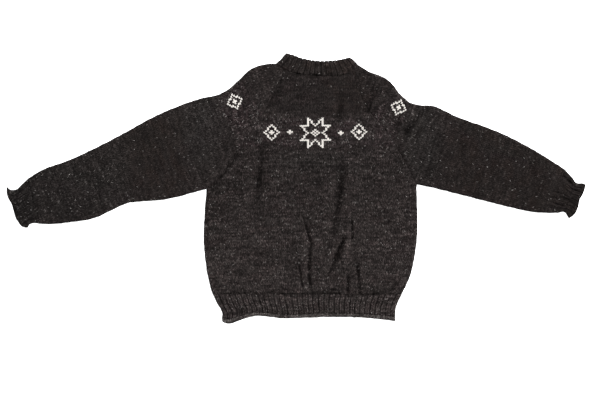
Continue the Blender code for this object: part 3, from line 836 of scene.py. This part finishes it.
def point_normals(points, quads):
    """Unit normal at each point, from the quads round it."""
    a, b = points[quads[:, 2]] - points[quads[:, 0]], points[quads[:, 3]] - points[quads[:, 1]]
    face = np.cross(a, b)
    normal = np.zeros_like(points)
    for corner in range(4):
        np.add.at(normal, quads[:, corner], face)
    return normal / np.maximum(np.linalg.norm(normal, axis=1, keepdims=True), 1e-12)


def stitch_relief(knit, seed):
    """Relief of stockinette: each wale a ridge, each row a swelling along it, no two stitches quite alike."""
    wale = -np.cos(2 * np.pi * knit[:, 0])
    row = -np.cos(2 * np.pi * knit[:, 1])
    return WALE_RELIEF * wale + ROW_RELIEF * row + STITCH_UNEVEN * stitch_noise(knit, seed)


def line_side(points, line):
    """Distance of points from a line, positive to the left of the way it runs."""
    x0, y0, x1, y1 = line
    way = unit(np.array((x1 - x0, y1 - y0)))
    return (points[:, 0] - x0) * -way[1] + (points[:, 1] - y0) * way[0]


def yoke_band(points, side):
    """1 inside the lighter, redder band across the yoke, easing to 0 outside it."""
    if side == "body":
        return smooth((points[:, 1] - BAND_LOW) / BAND_BLUR) * smooth((BAND_HIGH - points[:, 1]) / BAND_BLUR)
    top, low = (line_side(points, line) for line in BAND_LINES[side])
    return smooth(-top / BAND_BLUR) * smooth(low / BAND_BLUR)


def yarn_looks(points, bright, contrast, flecks, mauve=0.0):
    """Point attributes of the yarn: brightness, contrast and flecks; shares of brown, mauve and cool yarn."""
    plan = points[:, :2]
    # Painted shade: the yarn is coloured darker deep in the sharper folds and joins
    bright = bright * painted_fold_shade(points)
    change, brown, cool = np.zeros((3, len(plan)))
    for x, y, reach_x, reach_y, *shares in DYE_LOTS:
        near = np.exp(-((((plan[:, 0] - x) / reach_x) ** 2 + ((plan[:, 1] - y) / reach_y) ** 2) ** 2))
        change += shares[0] * near
        brown += shares[1] * near
        cool += shares[2] * near
    contrast = contrast * (1 - BROWN_CALM * np.clip(brown, 0, 1))
    flecks = flecks * (1 - BROWN_FLECK_LOSS * np.clip(brown, 0, 1))
    tone = np.stack(np.broadcast_arrays(bright * (1 + change), contrast, flecks), -1)
    return {"tone": tone, "tint": np.stack(np.broadcast_arrays(brown, mauve, cool), -1)}


def plain_looks(points, side):
    """Looks of the plain knitting of the body or of a sleeve."""
    band, y = yoke_band(points, side), points[:, 1]
    changes = [(PLAIN_LOOKS[side], np.ones(len(y))), (BAND_CHANGE[side], band)]
    if side == "body":
        changes.append((ABOVE_CHANGE, smooth((y - BAND_HIGH) / ABOVE_BLUR)))
        # Painted light: the low body is coloured lighter
        changes.append((LOW_CHANGE, smooth((LOW_START - y) / LOW_REACH)))
    bright, contrast, flecks = sum(np.outer(change, share) for change, share in changes)
    return yarn_looks(points, bright, contrast, flecks, band)


def seam_dip(plan, seams):
    """How far the cloth sinks next to the seams that it is sewn to."""
    starts = np.vstack([path[:-1] for path in seams])
    ends = np.vstack([path[1:] for path in seams])
    return SEAM_DIP * (1 - smooth(nearest_segment(plan, starts, ends)[0] / SEAM_DIP_REACH))


def raise_stitches(points, quads, knit, edge, seed, upper):
    """Moves the points out by the knit relief; on the side that lies on the floor, inwards only."""
    relief = stitch_relief(knit, seed)
    if upper:
        relief = relief + swell(points[:, :2]) * smooth(edge / CROWN_REACH)
    else:
        relief = WALE_RELIEF + ROW_RELIEF + STITCH_UNEVEN - relief
    normal = point_normals(points, quads)
    outwards = normal * (1, 1, 0) * edge_bumps(points[:, :2], edge)[:, None]
    return points + normal * (relief * smooth(edge / FOLD_RADIUS))[:, None] + outwards


def turned_rim(points, quads, border, edge, upper):
    """Turns the cloth's cut edge down into the seam, and a little way under the neighbouring piece."""
    open_edges = border[~(edge[border] < ON_FOLD).all(axis=1)]
    rim = np.unique(open_edges)
    centre = points[quads].mean(axis=1)
    centres, count = np.zeros((len(points), 3)), np.zeros(len(points))
    for corner in range(4):
        np.add.at(centres, quads[:, corner], centre)
        np.add.at(count, quads[:, corner], 1)
    inwards = centres[rim] / count[rim, None] - points[rim]
    inwards[:, 2] = 0
    inwards /= np.maximum(np.linalg.norm(inwards, axis=1, keepdims=True), 1e-9)
    depth = np.minimum(WALL, np.abs(points[rim, 2] - MID))
    turned = points[rim] - inwards * SEAM_TUCK
    turned[:, 2] += -depth if upper else depth
    place = np.full(len(points), -1)
    place[rim] = len(points) + np.arange(len(rim))
    first, second = open_edges.T
    skirt = np.stack([second, first, place[first], place[second]], -1)
    return np.vstack([points, turned]), np.vstack([quads, skirt]), rim


def layer(paths, seams, grain, upper, seed):
    """One layer of knitting: points, quads that face out, stitch counts and depth in from the folds."""
    plan, quads, border = lattice(paths, grain, KNIT_STEPS)
    edge = edge_distance(plan)
    rise = curl(edge, FOLD_RADIUS)
    dip = np.minimum(seam_dip(plan, seams), rise)
    if upper:
        height = upper_height(plan, edge, rise) - dip
    else:
        height = MID - rise + dip + under_lift(plan, edge)
    knit = grain.knit(plan)
    points = raise_stitches(np.column_stack([plan, height]), quads, knit, edge, seed, upper)
    points, quads, rim = turned_rim(points, quads, border, edge, upper)
    edge = np.append(edge, edge[rim] + FOLD_RADIUS)
    return points, quads if upper else quads[:, ::-1], np.vstack([knit, knit[rim]]), edge


def make_panel(name, upper, material):
    """Front or back of the body, open at its edges."""
    right, left = PATHS["right"], PATHS["left"]
    waist = np.array((right["side"].dense[-1], left["side"].dense[-1]))
    neck = NECK.at(np.linspace(*NECK_CORNERS, NECK_SAMPLES))
    seams = [left["raglan"].dense, neck[::-1], right["raglan"].dense[::-1]]
    paths = [waist, left["side"].dense[::-1], *seams, right["side"].dense]
    points, quads, knit, _ = layer(paths, seams, BODY_GRAIN, upper, 11 if upper else 12)
    looks = plain_looks(points, "body")
    return new_mesh(name, points, quads, {"knit": knit_values(knit), **looks}, material)


def knit_values(knit):
    return np.column_stack([knit, np.zeros(len(knit))])


def make_sleeve(side, material):
    """A sleeve: an upper and an under layer joined along its two folds."""
    lines, grain = PATHS[side], SLEEVE_GRAINS[side]
    ends = (NECK_CORNERS[0], 0) if side == "right" else (NECK_CORNERS[1], NECK.length)
    neck = NECK.at(np.linspace(*ends, NECK_SAMPLES))
    cuff = np.array((lines["over"].dense[-1], lines["under"].dense[-1]))
    seams = [lines["raglan"].dense, neck]
    paths = [*seams, lines["over"].dense, cuff, lines["under"].dense[::-1]]
    upper_points, upper_quads, knit, edge = layer(paths, seams, grain, True, 13)
    under_points, under_quads, under_knit, _ = layer(paths, seams, grain, False, 14)
    shared = edge < ON_FOLD
    index = np.cumsum(~shared) - 1 + len(upper_points)
    index[shared] = np.flatnonzero(shared)
    points = np.vstack([upper_points, under_points[~shared]])
    quads = np.vstack([upper_quads, index[under_quads]])
    knit = np.vstack([knit, under_knit[~shared]])
    looks = plain_looks(points, side)
    return new_mesh(f"sleeve_{side}_knit", points, quads, {"knit": knit_values(knit), **looks}, material)


def coons(first, last, start, end, across, along):
    """Net of points at these shares between four edges: start and end run across, first and last along."""
    u = across[None, :, None]
    v = along[:, None, None]
    ruled = (1 - u) * first[:, None] + u * last[:, None] + (1 - v) * start[None] + v * end[None]
    corners = (1 - v) * ((1 - u) * start[0] + u * start[-1]) + v * ((1 - u) * end[0] + u * end[-1])
    return ruled - corners


def rib_profile(phase):
    """Two knit wales stand as a ridge, with a narrow valley between ridges. The valley is at phase 0."""
    away = np.minimum(phase, 1 - phase)
    groove = np.exp(-(((0.5 - away) / WALE_GROOVE_WIDTH) ** 2))
    return smooth((away - RIB_FLANK[0]) / RIB_FLANK[1]) - WALE_GROOVE_DEPTH * groove


def rib_knit(position):
    """Stitch count across ribbing: two knit stitches over the ridge, two purl ones in the narrow valley."""
    rib, phase = np.floor(position), position % 1
    low, high = RIB_VALLEY / 2, 1 - RIB_VALLEY / 2
    return STITCHES_PER_RIB * rib + np.interp(phase, (0, low, high, 1), (-1, 0, 2, 3))


def band_rows(length):
    """Share along the band and depth in the wall of each ring, from the join round the free edge inwards."""
    stations = np.linspace(0, 1, round(length / BAND_ROW_STEP) + 1)
    turn = 0.4 * WALL / length
    outer = [(station, 0.0) for station in (turn, *stations[1:-1], 1 - turn)]
    inner = [(station, 1.0) for station in 1 - np.array((turn, *HEM_TURNED)) * HEM_TURN_IN / length]
    join, free = [(0.0, depth) for depth in JOIN_DEPTHS], [(1.0, depth) for depth in FREE_DEPTHS]
    return np.transpose([*join, *outer, *free, *inner])


def band_relief(net, distance, ridge, ribbed, roll):
    """Relief of the ribs, of the rows of stitches on them and of the twist in a rolled hem."""
    strength = RIB_STRENGTH[0] + RIB_STRENGTH[1] * value_noise(net, RIB_PATCH, 31)
    ribs = (RIB_FLOOR + RIB_HEIGHT * ridge * strength * (1 - HEM_ROLL_FLATTENS * roll)) * ribbed
    rows = ROW_RELIEF * -np.cos(2 * np.pi * distance / ROW_HEIGHT) * (ridge > 0.5)
    rope = ROPE_RELIEF * np.sin(2 * np.pi * (net[..., 0] + ROPE_SLANT * distance) / ROPE_PITCH)
    return ribs + rows + rope * roll


def tube(ring):
    """Points and quads of a row of closed rings, the quads turned outwards."""
    number = np.arange(ring.shape[0] * ring.shape[1]).reshape(ring.shape[:2])
    following = np.roll(number, -1, axis=1)
    quads = np.stack([number[:-1], following[:-1], following[1:], number[1:]], -1).reshape(-1, 4)
    points = ring.reshape(-1, 3)
    if (point_normals(points, quads) * (points - points.mean(axis=0)))[:, 2].sum() < 0:
        quads = quads[:, ::-1]
    return points, quads


def make_band(
    name, lines, ribs, material, bright, rib_relief=1.0, rib_start=0.0, rise=0.0, scallop=0.0, hem=None
):
    """A ribbed tube between a join and a free edge, its cloth turned in at both ends."""
    near, far, join, edge = lines
    shares = np.linspace(0, 1, COLUMNS_PER_RIB * ribs + 1)
    length = (near.length + far.length) / 2
    station, thick = band_rows(length)
    distance = station * length
    low, high = near.share(station), far.share(station)
    net = coons(low, high, join.share(shares), edge.share(shares), shares, station)
    into_band = unit(near.share(1) + far.share(1) - near.share(0) - far.share(0))
    position = shares * ribs
    position = position + RIB_UNEVEN * line_noise(position, RIB_UNEVEN_RUN, 32) * 4 * shares * (1 - shares)
    ribbed = rib_relief * smooth((distance - rib_start) / RIB_EASE + 1.0 * (rib_start == 0))[:, None]
    ridge = rib_profile(position % 1)
    frayed = EDGE_UNEVEN * value_noise(net, EDGE_BUMP, 6) - scallop * (1 - ridge)
    net += into_band * (frayed * smooth((station - FRAYED_FROM) / (1 - FRAYED_FROM))[:, None])[..., None]
    depth = edge_distance(net)
    depth[:, 0] = depth[:, -1] = 0
    centre = (low + high)[:, None] / 2
    sideways = unit(high - low)[:, None] * np.sign(shares - 0.5)[:, None]
    net += sideways * edge_bumps(net, depth)[..., None]
    half = np.linalg.norm(high - low, axis=1)[:, None, None] / 2
    plan = centre + (net - centre) * (1 - WALL * thick[:, None, None] / half)
    plan -= into_band * (SEAM_TUCK * (1 + thick) * (station == 0))[:, None, None]
    thick = thick[:, None]
    outer_curl = curl(depth, FOLD_RADIUS)
    inner_curl = outer_curl * (FOLD_RADIUS - WALL) / FOLD_RADIUS
    rising = outer_curl + thick * (inner_curl - outer_curl)
    flat = net.reshape(-1, 2)
    lift = (cloth_lift(flat, depth.ravel()) + fold_lift(flat, depth.ravel())).reshape(depth.shape)
    inside = smooth(depth / (2 * FOLD_RADIUS))
    roll = smooth((station[:, None] - HEM_ROLL_START) / HEM_ROLL_EASE) if hem else 0 * station[:, None]
    relief = band_relief(net, distance[:, None], ridge, ribbed, roll)
    if hem:
        relief += np.interp(station, *np.transpose(hem))[:, None]
    outside = 1 - smooth(thick)
    raised = (rise + relief + 0.5 * swell(net)) * outside + rise * INNER_RISE * (1 - outside)
    top = settle(MID + rising + lift + raised * inside, rising)
    under = MID - rising + UNDER_RIB_HEIGHT * (1 - ridge) * ribbed * outside * inside
    top[:, 0] = top[:, -1] = under[:, 0] = under[:, -1] = MID
    ring = np.concatenate([np.dstack([plan, top]), np.dstack([plan, under])[:, -2:0:-1]], axis=1)
    points, quads = tube(ring)
    around = np.concatenate([position, position[-2:0:-1]])
    valley = (1 - rib_profile(around % 1)) * ribbed * (1 - roll)
    rows = (distance / ROW_HEIGHT)[:, None]
    knit = np.dstack(np.broadcast_arrays(rib_knit(around), rows, valley)).reshape(-1, 3)
    # Painted shade darkens the colour in the rib valleys, and painted light makes the rolled hem lighter
    shade = bright * (1 - RIB_SHADE * smooth(valley * 1.2)) * (1 + HEM_ROLL_BRIGHT * roll)
    looks = yarn_looks(points, shade.ravel(), RIB_CONTRAST, RIB_FLECKS)
    looks["tint"][:, 2] += np.broadcast_to(roll, valley.shape).ravel()
    return new_mesh(name, points, quads, {"knit": knit, **looks}, material)


class Shade:
    """Short forms for the nodes of one material."""

    def __init__(self, name):
        self.material = bpy.data.materials.new(name)
        self.material.use_nodes = True
        tree = self.material.node_tree
        self.nodes, self.links, self.shader = tree.nodes, tree.links, tree.nodes["Principled BSDF"]

    def put(self, socket, value):
        """Links an output to a socket, or sets a plain value. None leaves the socket as it is."""
        if isinstance(value, bpy.types.NodeSocket):
            self.links.new(value, socket)
        elif value is not None:
            socket.default_value = value

    def node(self, kind, *values, **settings):
        """Outputs of a new node with these settings, its inputs filled in their order."""
        node = self.nodes.new("ShaderNode" + kind)
        for key, setting in settings.items():
            setattr(node, key, setting)
        for socket, value in zip(node.inputs, values):
            self.put(socket, value)
        return node.outputs

    def math(self, operation, *values, clamp=False):
        return self.node("Math", *values, operation=operation, use_clamp=clamp)[0]

    def times(self, product, *factors):
        for factor in factors:
            product = self.math("MULTIPLY", product, factor)
        return product

    def attribute(self, name):
        """The three numbers of a point attribute."""
        return self.node("SeparateXYZ", self.node("Attribute", attribute_name=name)["Vector"])

    def vector(self, x, y, z=0.0):
        return self.node("CombineXYZ", x, y, z)[0]

    def noise(self, vector, detail, roughness):
        return self.node("TexNoise", vector, None, 1.0, detail, roughness)["Fac"]

    def random(self, vector):
        return self.node("TexWhiteNoise", vector)["Value"]

    def remap(self, value, low, high, to_low=0.0, to_high=1.0, kind="SMOOTHSTEP"):
        return self.node("MapRange", value, low, high, to_low, to_high, interpolation_type=kind)[0]

    def mix(self, factor, first, second):
        """Blend of two colours. The node's colour sockets come after those of its other kinds."""
        others = [None] * 5
        return self.node("Mix", factor, *others, first, second, data_type="RGBA")[2]

    def scaled(self, colour, factor):
        return self.node("VectorMath", colour, None, None, factor, operation="SCALE")[0]

    def bump(self, height, distance):
        node = self.nodes.new("ShaderNodeBump")
        self.put(node.inputs["Distance"], distance)
        self.put(node.inputs["Height"], height)
        return node.outputs[0]

    def finish(self, sockets):
        """Sets or links the shader's own sockets and gives the material."""
        for key, value in sockets.items():
            self.put(self.shader.inputs[key], value)
        return self.material


def stitch_form(shade, slanted, across, valley):
    """Relief of one leg of a stitch: a round strand that thins out between the wales."""
    off_centre = shade.math("SUBTRACT", shade.times(shade.math("FRACT", slanted), 2.0), 1.0)
    square = shade.times(off_centre, off_centre)
    strand = shade.math("SQRT", shade.math("SUBTRACT", 1.0, square, clamp=True))
    side_gap = shade.remap(across, 0.62, 1.0, 1.0, 0.25)
    middle_gap = shade.remap(across, 0.0, 0.22, 0.55, 1.0)
    return shade.times(strand, side_gap, middle_gap, shade.math("SUBTRACT", 1.0, shade.times(valley, 0.5)))


def knit_material(name):
    """Heather yarn in stockinette: V-shaped stitches, uneven fibres and pale flecks along the rows."""
    shade = Shade(name)
    do, times = shade.math, shade.times
    u, v, valley = shade.attribute("knit")
    bright, contrast, fleck_density = shade.attribute("tone")
    brown, mauve, cool = shade.attribute("tint")

    across = times(do("ABSOLUTE", do("SUBTRACT", do("FRACT", u), 0.5)), 2.0)
    slanted = do("SUBTRACT", v, times(across, STITCH_SLANT))
    row = do("FLOOR", slanted)
    ply_row = do("FLOOR", times(slanted, 2.0))
    leg = do("FLOOR", times(u, 2.0))
    form = stitch_form(shade, slanted, across, valley)

    def field(across_scale, up_scale, seed, detail=2.0):
        return shade.noise(shade.vector(times(u, across_scale), times(v, up_scale), seed), detail, 0.6)

    def stitch_run(length, seed):
        number = do("FLOOR", do("ADD", do("DIVIDE", u, length), times(shade.random(row), 9.0)))
        return shade.random(shade.vector(number, row, seed))

    fibre = shade.noise(shade.vector(times(u, 4.0), times(slanted, 9.0)), 3.0, 0.65)
    own = shade.random(shade.vector(leg, row, 1.0))
    short_run = stitch_run(SHORT_RUN, 3.0)
    parts = (
        (shade.random(shade.vector(leg, ply_row, 6.0)), PLY_SPREAD),
        (own, OWN_SPREAD),
        (short_run, SHORT_SPREAD),
        (stitch_run(LONG_RUN, 4.0), LONG_SPREAD),
        (field(0.13, 1.00, 0.0, 3.0), STREAK_SPREAD),
        (field(0.05, 0.07, 7.0), PATCH_SPREAD),
    )
    exponent = 0.0
    for value, spread in parts:
        exponent = do("MULTIPLY_ADD", do("SUBTRACT", value, 0.5), spread, exponent)
    heather = do("EXPONENT", times(exponent, contrast))
    heather = times(heather, shade.remap(fibre, 0.3, 0.7, 0.60, 1.40, "LINEAR"))

    leg_draw = shade.random(shade.vector(leg, ply_row, 5.0))
    run_limit = do("SUBTRACT", 1.0, times(fleck_density, RUN_FLECKS))
    leg_limit = do("SUBTRACT", 1.0, times(fleck_density, LEG_FLECKS))
    run_fleck = times(shade.remap(short_run, run_limit, 1.0, 0.0, 0.35), shade.remap(own, 0.3, 1.0, 0.1, 1.0))
    leg_fleck = do("POWER", shade.remap(leg_draw, leg_limit, 1.0, kind="LINEAR"), 2.0)
    flecks = times(do("MAXIMUM", run_fleck, leg_fleck), shade.remap(fibre, 0.38, 0.58, 0.15, 1.0))

    uneven = field(0.09, 0.12, 2.0)
    plain = (*YARN, 1.0)
    for share, yarn in ((brown, BROWN_YARN), (mauve, MAUVE_YARN), (cool, COOL_YARN)):
        amount = do("MULTIPLY", share, shade.remap(uneven, 0.35, 0.65, 0.55, 1.15), clamp=True)
        plain = shade.mix(amount, plain, (*yarn, 1.0))
    plain = shade.mix(shade.remap(uneven, 0.40, 0.70, 0.45, 0.0), plain, (*COOL_YARN, 1.0))
    # Painted shade: the colour darkens towards GAP_SHADE in the gaps between strands, where the stitch form
    # is low
    level = times(heather, bright, shade.remap(form, 0.0, 0.8, GAP_SHADE, 1.0, "LINEAR"))
    return shade.finish({
        "Base Color": shade.mix(flecks, shade.scaled(plain, level), (*FLECK, 1.0)),
        "Roughness": 0.92,
        "Specular IOR Level": 0.03,
        "Sheen Weight": 0.02,
        "Sheen Roughness": 0.55,
        "Sheen Tint": (1.0, 0.86, 0.80, 1.0),
        "Normal": shade.bump(do("MULTIPLY_ADD", fibre, 0.55, form), STITCH_DEPTH),
    })


def charted_stitches(quarter):
    """Offsets of worked stitches from a motif's middle, from the chart of its quarter."""
    found = set()
    for row, line in enumerate(reversed(quarter)):
        for column, mark in enumerate(line):
            if mark == "#":
                found |= {(column, row), (-column, row), (column, -row), (-column, -row)}
    return sorted(found)


def stitch_legs(grain, middle, quarter):
    """Centre lines of the yarn of every worked stitch: two slanted legs each, in stitches and rows."""
    home = np.floor(grain.knit(np.array(middle)))
    share = np.linspace(0, 1, MOTIF_LEG_RINGS)
    for column, row in charted_stitches(quarter):
        for way in (-1, 1):
            across = home[0] + column + 0.5 + way * (MOTIF_LEG_START[0] + MOTIF_LEG_REACH[0] * share)
            up = home[1] + row + MOTIF_LEG_START[1] + MOTIF_LEG_REACH[1] * share
            yield np.stack([across, up], -1)


def make_motifs(material):
    """Off-white duplicate stitches: a tapered, slightly flattened strand over each leg of the stitches."""
    share = np.linspace(0, 1, MOTIF_LEG_RINGS)
    thick = np.sqrt(np.clip(1 - (2 * share - 1) ** 4, MOTIF_TAPER, 1))
    angle = 2 * np.pi * np.arange(MOTIF_LEG_SIDES) / MOTIF_LEG_SIDES
    strands, marks = [], []
    for place, middle, quarter in MOTIFS:
        grain = BODY_GRAIN if place == "body" else SLEEVE_GRAINS[place]
        for line in stitch_legs(grain, middle, quarter):
            plan = grain.plan(line)
            along = unit(np.gradient(plan, axis=0))
            across = np.stack([-along[:, 1], along[:, 0]], -1)
            sideways = MOTIF_YARN_WIDTH / 2 * thick[:, None] * np.cos(angle)
            ring = plan[:, None] + across[:, None] * sideways[..., None]
            strands.append(np.dstack([ring, MOTIF_YARN_HEIGHT * thick[:, None] * np.sin(angle)]))
            run = np.broadcast_to((share * MOTIF_TWISTS)[:, None], ring.shape[:2])
            turn = np.broadcast_to(angle / (2 * np.pi), ring.shape[:2])
            marks.append(np.dstack([run, turn, np.full(ring.shape[:2], len(marks))]))
    points = np.array(strands)
    centre = points[:, :, :, :2].mean(axis=2).reshape(-1, 2)
    edge = edge_distance(centre)
    ground = upper_height(centre, edge, curl(edge, FOLD_RADIUS)) + swell(centre) * smooth(edge / CROWN_REACH)
    raised = WALE_RELIEF + MOTIF_RAISED * MOTIF_YARN_HEIGHT
    points[..., 2] += ground.reshape(points.shape[:2])[..., None] + raised
    count, rings, sides = points.shape[:3]
    number = np.arange(count * rings * sides).reshape(count, rings, sides)
    following = np.roll(number, -1, axis=2)
    tube = np.stack([number[:, :-1], number[:, 1:], following[:, 1:], following[:, :-1]], -1).reshape(-1, 4)
    caps = []
    for end, turned in ((number[:, 0], False), (number[:, -1], True)):
        for first in range(0, sides // 2 - 1):
            quad = np.stack([end[:, first], end[:, first + 1], end[:, -2 - first], end[:, -1 - first]], -1)
            caps.append(quad[:, ::-1] if turned else quad)
    quads = np.vstack([tube, *caps])
    strand = np.array(marks).reshape(-1, 3)
    return new_mesh("yoke_motifs", points.reshape(-1, 3), quads, {"strand": strand}, material)


def motif_material():
    """Off-white yarn: twisted plies with a little painted shade between them."""
    shade = Shade("motif_yarn")
    run, turn, own = shade.attribute("strand")
    twist = shade.math("SINE", shade.times(shade.math("ADD", run, turn), 2 * math.pi))
    fibre = shade.noise(shade.vector(shade.times(run, 3.0), shade.times(turn, 9.0), own), 3.0, 0.6)
    # Painted shade: the colour is darker between the plies
    between_plies = shade.remap(twist, -1.0, 0.2, 0.72, 1.0)
    level = shade.times(between_plies, shade.remap(fibre, 0.3, 0.7, 0.85, 1.08, "LINEAR"))
    return shade.finish({
        "Base Color": shade.scaled(MOTIF_YARN, level),
        "Roughness": 0.9,
        "Specular IOR Level": 0.15,
        "Sheen Weight": 0.10,
        "Normal": shade.bump(shade.math("ADD", twist, fibre), MOTIF_YARN_HEIGHT / 3),
    })


def add_floor():
    """Plain white sheet that the garment lies on."""
    reach = FLOOR_SIZE / 2
    mesh = bpy.data.meshes.new("floor")
    corners = [(-reach, -reach, 0), (reach, -reach, 0), (reach, reach, 0), (-reach, reach, 0)]
    mesh.from_pydata(corners, [], [(0, 1, 2, 3)])
    mesh.materials.append(Shade("floor_paper").finish({
        "Base Color": (0.90, 0.90, 0.90, 1),
        "Roughness": 0.9,
        "Specular IOR Level": 0.0,
        "Emission Color": (1, 1, 1, 1),
        "Emission Strength": FLOOR_GLOW,
    }))
    floor = add("floor", mesh)
    floor.location.z = -FLOOR_DROP


def add_light():
    """A large soft lamp at a slant over an even white room."""
    world = bpy.data.worlds.new("studio")
    bpy.context.scene.world = world
    world.use_nodes = True
    background = world.node_tree.nodes["Background"]
    background.inputs["Color"].default_value = (1, 1, 1, 1)
    background.inputs["Strength"].default_value = ROOM_LIGHT
    lamp = bpy.data.lights.new("softbox", "AREA")
    lamp.size = LAMP_SIZE
    lamp.energy = LAMP_POWER
    item = add("softbox", lamp)
    item.location = LAMP_PLACE
    item.rotation_euler = (-Vector(LAMP_PLACE)).to_track_quat("-Z", "Y").to_euler()


def add_camera():
    """Straight above the garment, with the photograph's frame."""
    camera = bpy.data.cameras.new("camera")
    camera.lens = CAMERA_LENS
    camera.sensor_width = 36
    item = add("camera", camera)
    item.location = (VIEW_CENTRE[0] - SHIFT[0], VIEW_CENTRE[1] - SHIFT[1], CAMERA_HEIGHT)
    bpy.context.scene.camera = item
    bpy.context.scene.view_settings.view_transform = "Standard"


def declare_cloth(pieces):
    """Looks up what each piece lies on, from the table of sizes, and does nothing further with it. A tube
    counts all round.
    """
    for node, width, length, area, under in CUTS:
        rests_on = [pieces[name] for name in under]


def main():
    add_camera()
    add_floor()
    add_light()
    knit, rib = knit_material("heather_knit"), knit_material("heather_rib")
    pieces = {
        "back": make_panel("back_knit", False, knit),
        "front": make_panel("front_knit", True, knit),
        "sleeve_right": make_sleeve("right", knit),
        "sleeve_left": make_sleeve("left", knit),
    }
    for side, lines in PATHS.items():
        join = Path((OUTLINE[side]["cuff_under"][0], OUTLINE[side]["cuff_over"][0]))
        edges = lines["cuff_under"], lines["cuff_over"], join, lines["cuff_end"]
        plain, name = CUFF_PLAIN[side], f"cuff_{side}"
        pieces[name] = make_band(
            f"{name}_knit", edges, CUFF_RIBS, rib, CUFF_BRIGHT, rib_relief=CUFF_RELIEF, rib_start=plain
        )
    right, left = PATHS["right"], PATHS["left"]
    waist = Path((OUTLINE["right"]["rib_side"][0], OUTLINE["left"]["rib_side"][0]))
    edges = right["rib_side"], left["rib_side"], waist, Path(HEM)
    pieces["waist_rib"] = make_band("waist_rib_knit", edges, WAIST_RIBS, rib, WAIST_BRIGHT, hem=HEM_ROLL)
    edges = right["neck_side"], left["neck_side"], NECK, Path(NECK_TOP)
    pieces["neckband"] = make_band(
        "neckband_knit", edges, NECK_RIBS, rib, NECK_BRIGHT,
        rib_relief=NECK_RELIEF, rise=NECKBAND_RISE, scallop=NECK_SCALLOP,
    )
    for node, piece in pieces.items():
        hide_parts(node)
        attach(piece, "root")
    motifs = make_motifs(motif_material())
    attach(motifs, "root")
    declare_cloth(pieces)


main()
